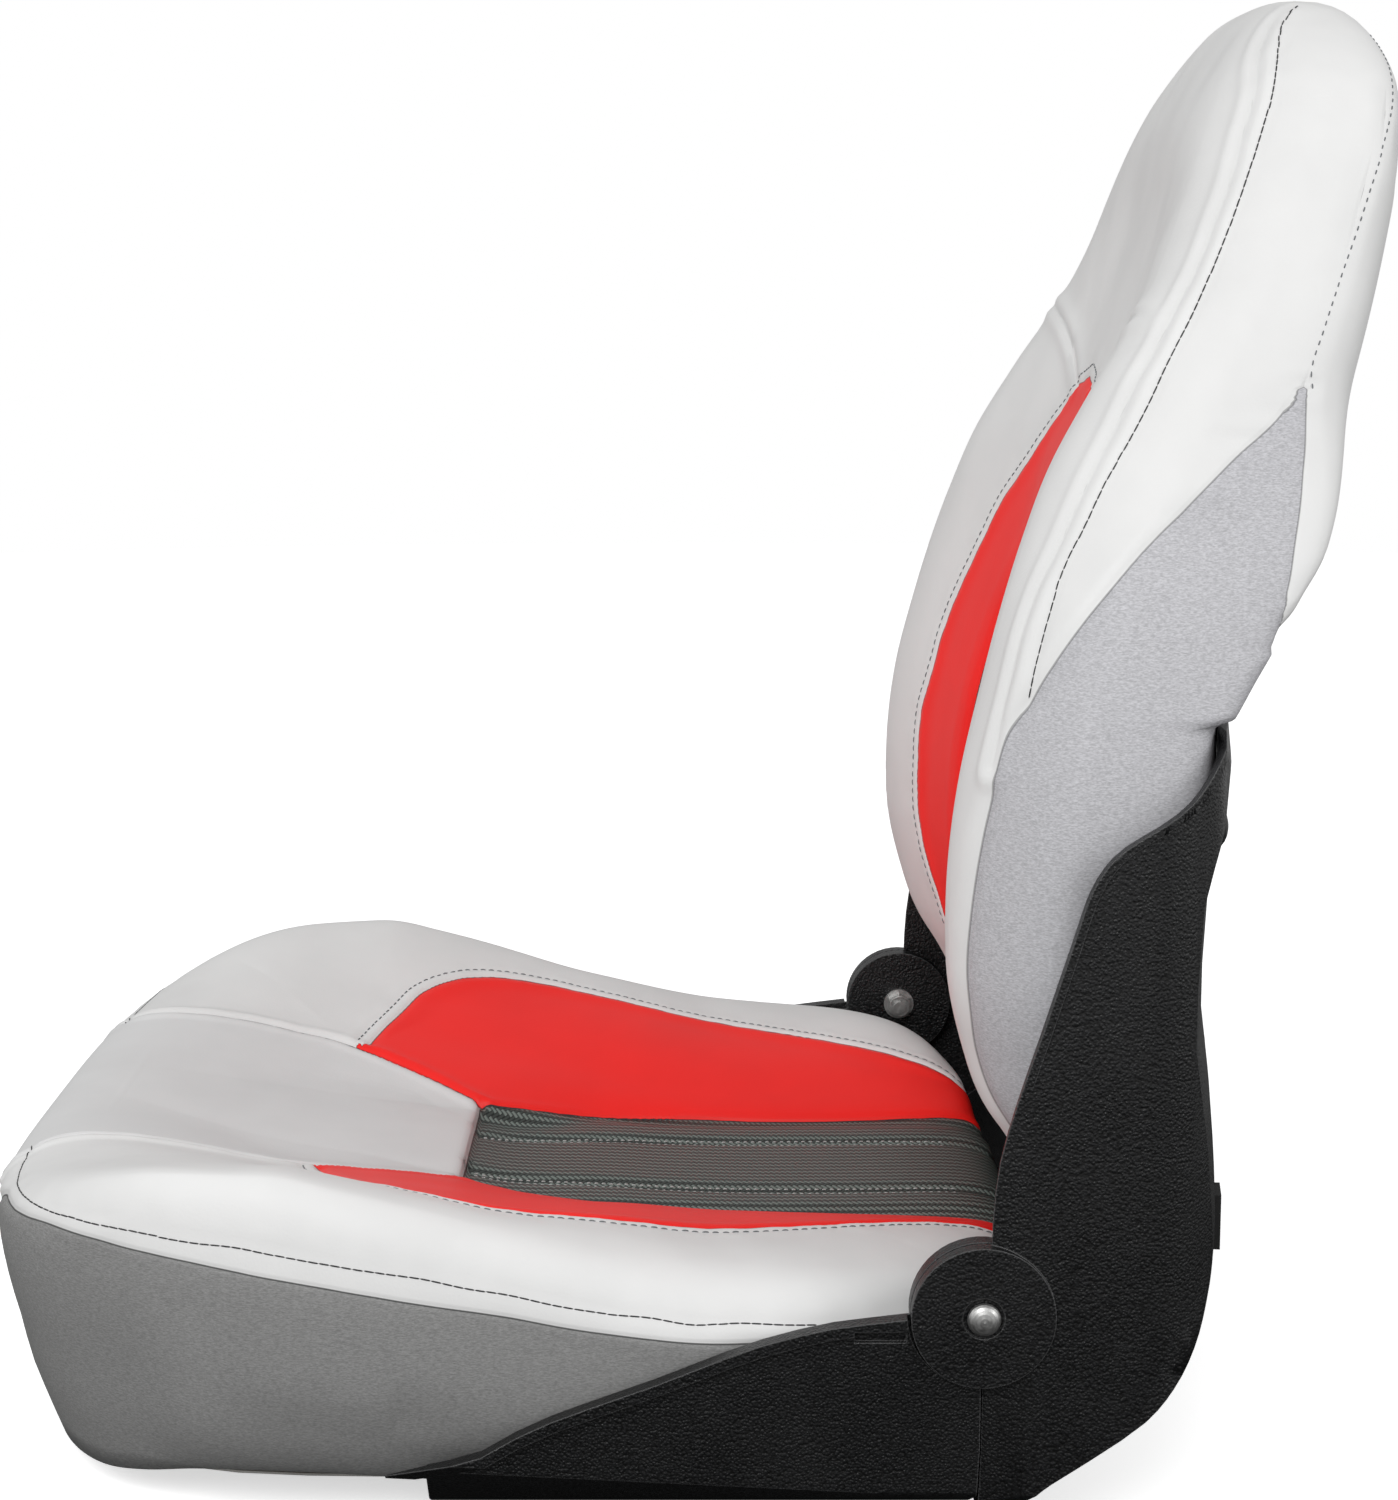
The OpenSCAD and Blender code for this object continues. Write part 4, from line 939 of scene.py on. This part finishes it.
class BOATSEAT_OT_back_cover(bpy.types.Operator):
    """Makes the padded cover of the back, with its headrest, panels, seams and threads"""
    bl_idname = "boatseat.back_cover"
    bl_label = "Back Cover"

    def execute(self, context):
        sizes, colours = context.scene.boat_seat_sizes, context.scene.boat_seat_colours
        rings = [1, 0.998, 0.993, 0.986, 0.977, 0.966, 0.953, 0.938, *np.linspace(0.92, 0.1, 60)]
        points, faces = cover_mesh(back_cover, sizes.cover_steps, rings)
        piece = make_mesh("back_cushion_cover", points, faces)
        normals = read_normals(piece)
        half = mirrored(points)
        x, y, z = half.T
        front = y < curve(BACK_EDGE_Y, z) + 2
        red_path, dark_path, head_path = (dense_path(p, PATH_STEP)
                                          for p in (BACK_RED_SEAM, BACK_DARK_SEAM, HEADREST_SEAM))
        gap = {name: seam_distance(half, path) for name, path in {
            "red_line": on_back(red_path), "dark_line": on_back(dark_path), "head_line": on_back(head_path),
            "crease": dense_path(CREASE, PATH_STEP), "crease_stitch": dense_path(CREASE_STITCH, PATH_STEP),
            "rear_line": dense_path(REAR_SEAM, PATH_STEP)}.items()}
        outlines = {
            "dark": np.concatenate([dark_path, [(72, 0), (0, 0)]]),
            "red": np.concatenate([red_path, [(94, 0), (72, 0)], dark_path[::-1]]),
        }
        for name, edges in {"dark": ("dark_line",), "red": ("red_line", "dark_line")}.items():
            near = np.minimum.reduce([gap[e][0] for e in edges])
            put_field(piece, name, np.where(inside(x, z, outlines[name]) & front, near, -near))
        side_front, side_rear = dense_path(SIDE_PANEL_FRONT, PATH_STEP), dense_path(SIDE_PANEL_REAR, PATH_STEP)
        ring = np.concatenate([side_front, side_rear])
        flat = np.stack([np.zeros(len(x)), y, z], -1)
        near = np.minimum(*(seam_distance(flat, np.insert(p, 0, 0, axis=1))[0] for p in (side_front, side_rear)))
        outside = x > curve(BACK_CREST_X, z) + 4
        side_gap = np.where(outside, np.where(inside(y, z, ring), near, -near), -FAR)
        put_field(piece, "side", side_gap)
        for name in ("crease", "rear_line", "head_line"):
            put_field(piece, name, gap[name][0])
        rib = np.where((z < 385) & front & inside(x, z, outlines["dark"]), abs(x - BACK_RIB_X), FAR)
        put_field(piece, "rib", rib)
        put_uv(piece, points[:, [0, 2]])
        stitch_path = on_back(beside(red_path, RED_STITCH_AWAY_BACK))
        inner, inner_at = seam_distance(half, stitch_path)
        crease = gap["crease"][0]
        depth = sizes.seam_depth / MM
        lift = np.zeros(len(points))
        for name in ("red_line", "dark_line"):
            lift -= depth * groove(gap[name][0], SEAM_WIDTH) * front
        lift -= depth * groove(gap["head_line"][0], 2.8) * front
        lift += 0.6 * groove(gap["head_line"][0] - 4.5, 3.5) * front
        lift -= 1.1 * groove(crease, 3.0)
        lift += 1.0 * groove(crease - 5.5, 3.2)
        lift -= (0.8 * groove(gap["crease_stitch"][0], STITCH_WIDTH)
                 + STITCH_DEPTH * groove(inner, STITCH_WIDTH) * front)
        lift -= depth * 0.9 * groove(gap["rear_line"][0], SEAM_WIDTH)
        lift -= depth * 0.8 * groove(side_gap, 2.4) * outside
        lift += 0.5 * groove(side_gap + 4.0, 3.0) * outside
        lift -= sizes.rib_depth / MM * groove(rib, 7.0)
        sunk = np.where(inside(x, z, outlines["dark"]), gap["dark_line"][0], -gap["dark_line"][0])
        lift -= HOLLOW_DEPTH * smooth_step((sunk + 14) / 22) * smooth_step((z - 110) / 50) * front
        lift += (BOLSTER_LIFT * smooth_step((x - 110) / 40) * smooth_step((z - 180) / 40)
                 * smooth_step((500 - z) / 60) * front)
        lift += PUCKER_HEIGHT * pucker(inner_at, inner, PUCKER_REACH) * front
        lift += PUCKER_HEIGHT * pucker(gap["crease_stitch"][1], gap["crease_stitch"][0], PUCKER_REACH)
        points = points + normals * lift[:, None]
        points += swelling(back_cover, sizes.cover_steps, rings, self.held, sizes.swell / MM)
        points -= normals * (DRAWN_IN * sizes.swell / MM * (1 - self.held(half)))[:, None]
        write_points(piece.data, points)
        piece.data.materials.append(cover_material(
            "back cover vinyl", colours,
            [("red", colours.red, "vinyl"), ("dark", colours.dark, "weave"), ("side", colours.side, "heather")],
            # Seam fields: name, strength of the painted shade in its groove, lift
            [("red", 0.6, 0.4), ("dark", 0.9, 0.4), ("side", 0.5, 0.4), ("crease", 0.12, 0.35),
             ("rear_line", 0.4, 0.4), ("head_line", 0.1, 0.5), ("rib", 0.6, 0.3)]))
        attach(piece, "back")
        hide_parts("back_cushion")
        sew(piece, sizes, "back", self.rows(stitch_path))
        return {"FINISHED"}

    @staticmethod
    def held(points):
        """1 on the seams and where the cushion sits in the shell, fading out between them."""
        half = mirrored(points)
        paths = [on_back(dense_path(p, HELD_STEP)) for p in (BACK_RED_SEAM, BACK_DARK_SEAM, HEADREST_SEAM)]
        paths += [dense_path(p, HELD_STEP) for p in (CREASE, REAR_SEAM)]
        seam = np.minimum.reduce([seam_distance(half, p)[0] for p in paths])
        behind = smooth_step((half[:, 1] - curve(BACK_REAR_Y, half[:, 2]) + 14) / 8) * (half[:, 2] < 345)
        middle = smooth_step((110 - np.hypot(half[:, 0], half[:, 2] - 355)) / 50)
        middle *= half[:, 1] > curve(BACK_EDGE_Y, half[:, 2]) + 10
        return np.maximum.reduce([groove(seam, 8.0), behind, middle, smooth_step((150 - half[:, 2]) / 20)])

    @staticmethod
    def rows(stitch_path):
        """The rows of thread for sew(): the front topstitch, the row beside the red panel and the rear seam."""
        dark = thread_material("black thread on back", BLACK_THREAD)
        slate = thread_material("slate thread on back", SLATE_THREAD)
        rear = dense_path(REAR_SEAM, PATH_STEP) + [0, 2.5, 0]
        return [("back_topstitch", both_sides(dense_path(CREASE_STITCH, PATH_STEP)), 1, 1.02, 0.85, dark, 0.08),
                ("back_red_stitch", both_sides(stitch_path), 1, 0.78, 1, slate, 0.35),
                ("back_rear_stitch", both_sides(rear), 1, 0.6, 0.8, slate, 0.35)]


# ---- Hard parts -----------------------------------------------------------------------------

# Side view of the back shell's rear face by the arms: height and distance behind the middle
SHELL_REAR_Y = [(13.5, 112), (18, 128), (28, 141), (37.5, 155), (46, 167), (54, 176), (66, 184), (81, 191), (98, 197),
                (112, 198.5), (142, 197), (166, 195), (197, 191), (221, 191), (252, 192.5), (279, 198.5), (300, 200)]
# The same side view with its corners rounded, the crown's turning axis and rise, how near a point of a facet lies
# to it, and the heights where the facets are cut
SHELL_ROUND_Y = [(13.5, 112), (18, 127), (28, 141.5), (37.5, 155.5), (46, 167.5), (54, 177), (66, 186.3), (81, 193.3),
                 (98, 197.2), (112, 198.6), (142, 197.2), (166, 195), (197, 191), (221, 191), (252, 192.5),
                 (279, 198.5), (300, 200)]
SHELL_CROWN_Y, SHELL_CROWN_RISE, SHELL_NEAR = -928.0, 23.0, 0.35
SHELL_CUTS = [15.5, 20.5, 23, 25.5, 31, 34.5, 41, 44, 49, 51.5, 58, 62, 71, 76, 86, 92, 104, 120, 131]


def plastic_material(name, colour, cells, grain_depth):
    """Moulded black plastic: pebble grain, uneven shine and small rounded edges, with painted highlights on the
    raised pebbles and along the edges.
    """
    material, net, shader = principled(name)
    grain = net.group(pebble_grain_group(), Vector=net.place(), Cells=cells)
    # Painted highlight: raised pebbles get up to 2.2 times the base colour and hollows 0.2 times
    lit = net.ramp(grain["Height"], 0.5, 1.1, 0.2, 2.2)
    tinted = net.tinted(colour, lit)
    rough = net.ramp(grain["Shine"], 0.3, 0.7, 0.34, 0.46)
    edge = net.add("ShaderNodeBevel", {"Radius": 0.0009}, samples=6).outputs[0]
    # Painted highlight: where the rounded-edge normal turns away from the flat normal, the colour is lightened to
    # grey
    flat = net.add("ShaderNodeNewGeometry").outputs["Normal"]
    agree = net.add("ShaderNodeVectorMath", {0: edge, 1: flat}, operation="DOT_PRODUCT").outputs["Value"]
    tinted = net.mix(net.ramp(agree, 0.995, 0.85), tinted, (0.09, 0.09, 0.092, 1))
    net.give(shader, {"Base Color": tinted, "Roughness": rough,
                      "Normal": net.bump(grain["Height"], 1.0, grain_depth, edge), "Specular IOR Level": 0.5})
    return material


def cut_rear(joined):
    """Cuts the faces at the rear and foot of the shell, clear of its hinge eyes, at each of SHELL_CUTS."""
    for height in SHELL_CUTS:
        rear = [face for face in joined.faces
                if all(v.co.y > 0.11 and (v.co.y > 0.165 or v.co.z < 0.044) for v in face.verts)]
        edges = {edge for face in rear for edge in face.edges}
        corners = {vert for face in rear for vert in face.verts}
        bmesh.ops.bisect_plane(joined, geom=[*corners, *edges, *rear], dist=1e-6,
                               plane_co=(0, 0, height * MM), plane_no=(0, 0, 1))


def rounded_rear(mesh):
    """Moves the points of the shell's rear face from the straight facets of its side view onto a smooth curve.
    The side view is turned about the distant axis of the crown: y' = sqrt((y - axis)^2 + x^2) + axis - rise.
    """
    points = read_points(mesh)
    x, y, z = points.T
    out = np.hypot(y - SHELL_CROWN_Y, x)
    level = out + SHELL_CROWN_Y - SHELL_CROWN_RISE
    knots = np.array(SHELL_REAR_Y)
    facet = np.interp(z, knots[:, 0], knots[:, 1])
    on_face = (abs(level - facet) < SHELL_NEAR) & (z > SHELL_REAR_Y[0][0] + 0.1) & (z < SHELL_REAR_Y[-1][0] - 1)
    move = np.where(on_face, curve(SHELL_ROUND_Y, z) - facet, 0) / out
    points[:, 0] += move * x
    points[:, 1] += move * (y - SHELL_CROWN_Y)
    write_points(mesh, points)


def steel_material(name, colour, rough):
    """Turned stainless steel: fine rings of brighter and duller metal round each axis along X."""
    material, net, shader = principled(name)
    place = net.place()
    streak = net.noise(net.stretched(place, (3000.0, 500.0, 500.0)), 1.0, 3.0, 0.6)
    stain = net.noise(place, 60.0, 3.0)
    blotch = net.math("ADD", net.math("MULTIPLY", streak, 0.6), net.math("MULTIPLY", stain, 0.4))
    lit = net.ramp(blotch, 0.3, 0.7, 0.8, 1.05)
    net.give(shader, {"Base Color": net.tinted(colour, lit),
                      "Roughness": net.ramp(streak, 0.3, 0.7, rough - 0.06, rough + 0.08),
                      "Normal": net.bump(streak, 0.3, 0.0001), "Metallic": 1.0})
    return material


def plywood_material():
    """Layered birch board: long grain on the faces and thin dark glue lines through its thickness."""
    material, net, shader = principled("plywood")
    place = net.place()
    grain = net.noise(net.stretched(place, (14.0, 160.0, 160.0)), 1.0, 4.0, 0.6)
    colour = net.mix(net.ramp(grain, 0.3, 0.7), (0.50, 0.34, 0.19, 1), (0.68, 0.50, 0.31, 1))
    net.give(shader, {"Base Color": colour, "Normal": net.bump(grain, 0.3, 0.0004), "Roughness": 0.7})
    return material


def plain_material(name, colour, rough, scale, depth):
    """Even material with a fine surface: a slow change of tone and a small bump."""
    material, net, shader = principled(name)
    place = net.place()
    tone = net.noise(place, 40.0, 3.0)
    fine = net.noise(place, scale, 2.0)
    blotch = net.math("ADD", net.math("MULTIPLY", tone, 0.5), net.math("MULTIPLY", fine, 0.5))
    lit = net.ramp(blotch, 0.3, 0.7, 0.85, 1.12)
    net.give(shader, {"Base Color": net.tinted(colour, lit), "Normal": net.bump(fine, 0.5, depth),
                      "Roughness": rough})
    return material


class BOATSEAT_OT_hard_parts(bpy.types.Operator):
    """Gives the pan, shell, boards and hardware their finishes"""
    bl_idname = "boatseat.hard_parts"
    bl_label = "Hard Parts"

    def execute(self, context):
        colours = context.scene.boat_seat_colours
        steel = steel_material("stainless steel", (0.60, 0.60, 0.59), 0.42)
        finishes = {
            plastic_material("moulded shell plastic", colours.plastic, 950.0, 0.0004): ("seat_base", "back_shell"),
            plastic_material("smooth cap plastic", colours.plastic, 1400.0, 0.00005):
                ("screw_caps", "hinge_bush_left", "hinge_bush_right"),
            steel: ("hinge_bolt_left", "hinge_bolt_right", "flat_washer_left", "flat_washer_right",
                    "lock_nut_left", "lock_nut_right", "seat_screws", "seat_tee_nuts", "back_screws",
                    "back_tee_nuts"),
            steel_material("brass", (0.60, 0.44, 0.20), 0.35): ("mount_inserts",),
            plain_material("nylon washer", (0.72, 0.71, 0.67), 0.45, 900.0, 0.00005):
                ("friction_washer_left", "friction_washer_right"),
            plain_material("bumper rubber", (0.018, 0.018, 0.018), 0.75, 1200.0, 0.0002): ("rear_bumpers",),
            plain_material("underside cloth", (0.60, 0.59, 0.56), 0.85, 1600.0, 0.0002): ("seat_dust_cover",),
            plywood_material(): ("seat_board", "back_board"),
        }
        for material, names in finishes.items():
            for name in names:
                if name in ("seat_base", "back_shell"):
                    self.smooth_copy(name, material)
                else:
                    NODES[name].material_slots[0].material = material
        return {"FINISHED"}

    @staticmethod
    def smooth_copy(name, material):
        """The same moulding as one joined mesh, shaded smooth across its shallow facets and sharp at its edges."""
        mesh = NODES[name].data.copy()
        joined = bmesh.new()
        joined.from_mesh(mesh)
        bmesh.ops.remove_doubles(joined, verts=joined.verts, dist=2e-6)
        bmesh.ops.recalc_face_normals(joined, faces=joined.faces)
        bmesh.ops.dissolve_limit(joined, angle_limit=np.radians(0.4), verts=joined.verts, edges=joined.edges)
        if name == "back_shell":
            cut_rear(joined)
        joined.to_mesh(mesh)
        joined.free()
        if name == "back_shell":
            rounded_rear(mesh)
        mesh.materials.clear()
        mesh.materials.append(material)
        mesh.polygons.foreach_set("use_smooth", np.ones(len(mesh.polygons), bool))
        mesh.set_sharp_from_angle(angle=np.radians(28))
        piece = bpy.data.objects.new(name + "_moulding", mesh)
        bpy.context.scene.collection.objects.link(piece)
        even = piece.modifiers.new("Weighted Normal", "WEIGHTED_NORMAL")
        even.keep_sharp, even.weight = True, 90
        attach(piece, "back" if name == "back_shell" else "base")
        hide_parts(name)


# ---- Stage ----------------------------------------------------------------------------------


CAMERA_AT, CAMERA_DOWN, CAMERA_LENS = (1.342, 0.0, 0.489), 9.17, 72.0
# Name, place, the point it aims at, diameter in metres and watts
LAMPS = [("key lamp", (2.2, -0.6, 1.8), (0, 0.05, 0.25), 1.6, 34.0),
         ("fill lamp", (0.9, -2.6, 1.5), (0, 0.0, 0.25), 2.2, 12.0),
         ("rear lamp", (1.4, 2.4, 1.4), (0, 0.1, 0.25), 1.4, 19.0)]
FLOOR_SIDES, FLOOR_Z = 96, -0.5


class BOATSEAT_OT_stage(bpy.types.Operator):
    """Makes the pale floor, the soft studio light and the camera"""
    bl_idname = "boatseat.stage"
    bl_label = "Stage"

    def execute(self, context):
        scene = context.scene
        scene.view_settings.view_transform = "Standard"
        camera = bpy.data.objects.new("camera", bpy.data.cameras.new("camera"))
        camera.data.lens, camera.data.sensor_width = CAMERA_LENS, 36.0
        camera.location = CAMERA_AT
        camera.rotation_euler = (np.radians(90 - CAMERA_DOWN), 0.0, np.radians(90))
        scene.collection.objects.link(camera)
        scene.camera = camera
        self.world(scene)
        self.floor()
        for lamp in LAMPS:
            self.lamp(*lamp)
        return {"FINISHED"}

    @staticmethod
    def world(scene):
        """White to the camera, and a soft grey light on the object and in reflections."""
        scene.world = bpy.data.worlds.new("studio")
        scene.world.use_nodes = True
        tree = scene.world.node_tree
        tree.nodes.clear()
        net = Net(tree)
        path = net.add("ShaderNodeLightPath").outputs
        ambient = net.mix_value(path["Is Glossy Ray"], 0.54, 0.45)
        strength = net.mix_value(path["Is Camera Ray"], ambient, 1.0)
        shader = net.add("ShaderNodeBackground", {"Color": (1, 1, 1, 1), "Strength": strength})
        out = net.add("ShaderNodeOutputWorld")
        tree.links.new(shader.outputs[0], out.inputs[0])

    @staticmethod
    def floor():
        """A large pale disc just under the seat, white to the camera apart from the seat's shadow; painted near black
        close to the seat in reflections, and mid grey to bounced light.
        """
        angle = np.linspace(0, 2 * np.pi, FLOOR_SIDES, endpoint=False)
        radius = np.array([0.0, 400.0, 1200.0, 4000.0])
        rim = radius[1:, None, None] * np.stack([np.cos(angle), np.sin(angle)], -1)[None]
        points = np.concatenate([np.zeros((1, 3)), np.insert(rim.reshape(-1, 2), 2, FLOOR_Z, axis=1)])
        points[0, 2] = FLOOR_Z
        k = 1 + np.arange(3 * FLOOR_SIDES).reshape(3, FLOOR_SIDES)
        turn = np.roll(k, -1, axis=1)
        quads = np.stack([k[:-1], k[1:], turn[1:], turn[:-1]], -1).reshape(-1, 4)
        fan = np.stack([np.zeros(FLOOR_SIDES, int), k[0], turn[0]], -1)
        floor = make_mesh("floor", points, [fan, quads])
        material, net, shader = principled("floor paint")
        tone = net.noise(net.place(), 3.0, 2.0)
        path = net.add("ShaderNodeLightPath").outputs
        seen = path["Is Camera Ray"]
        paint = net.mix(tone, (0.93, 0.93, 0.93, 1), (0.96, 0.96, 0.96, 1))
        # Painted shade in reflections: to glossy rays the floor is near black within half a metre and pale far away
        far = net.ramp(net.add("ShaderNodeVectorMath", {0: net.place()}, operation="LENGTH").outputs[1], 0.5, 2.2)
        painted_reflection_shade = net.mix(far, (0.03, 0.03, 0.03, 1), (0.95, 0.95, 0.95, 1))
        unseen = net.mix(path["Is Glossy Ray"], (0.3, 0.3, 0.3, 1), painted_reflection_shade)
        net.give(shader, {"Base Color": net.mix(seen, unseen, paint),
                          "Emission Color": net.mix(seen, (0, 0, 0, 1), (0.6, 0.6, 0.6, 1)),
                          "Emission Strength": 1.0, "Roughness": 0.9})
        floor.data.materials.append(material)

    @staticmethod
    def lamp(name, at, to, size, power):
        """A round soft lamp that faces the point it aims at."""
        light = bpy.data.lights.new(name, "AREA")
        light.shape, light.size, light.energy = "DISK", size, power
        lamp = bpy.data.objects.new(name, light)
        lamp.location = at
        aim = np.array(to, float) - np.array(at, float)
        flat = np.hypot(aim[0], aim[1])
        lamp.rotation_euler = (np.arctan2(flat, -aim[2]), 0.0, np.arctan2(aim[1], aim[0]) - np.pi / 2)
        bpy.context.scene.collection.objects.link(lamp)


# ---- Panel and registration -----------------------------------------------------------------

OPERATORS = (BOATSEAT_OT_stage, BOATSEAT_OT_hard_parts, BOATSEAT_OT_seat_cover, BOATSEAT_OT_back_cover)


class BOATSEAT_PT_looks(bpy.types.Panel):
    """Sizes, colours and the steps that dress the seat"""
    bl_label = "Boat Seat"
    bl_idname = "BOATSEAT_PT_looks"
    bl_space_type = "VIEW_3D"
    bl_region_type = "UI"
    bl_category = "Boat Seat"

    def draw(self, context):
        for group in (context.scene.boat_seat_colours, context.scene.boat_seat_sizes):
            for key in group.__annotations__:
                self.layout.prop(group, key)
        for operator in OPERATORS:
            self.layout.operator(operator.bl_idname)


CLASSES = (BoatSeatColours, BoatSeatSizes, *OPERATORS, BOATSEAT_PT_looks)


def register():
    for cls in CLASSES:
        bpy.utils.register_class(cls)
    bpy.types.Scene.boat_seat_colours = PointerProperty(type=BoatSeatColours)
    bpy.types.Scene.boat_seat_sizes = PointerProperty(type=BoatSeatSizes)


def unregister():
    del bpy.types.Scene.boat_seat_sizes
    del bpy.types.Scene.boat_seat_colours
    for cls in reversed(CLASSES):
        bpy.utils.unregister_class(cls)


def main():
    register()
    bpy.ops.boatseat.stage()
    bpy.ops.boatseat.hard_parts()
    bpy.ops.boatseat.seat_cover()
    bpy.ops.boatseat.back_cover()


if __name__ == "__main__":
    main()
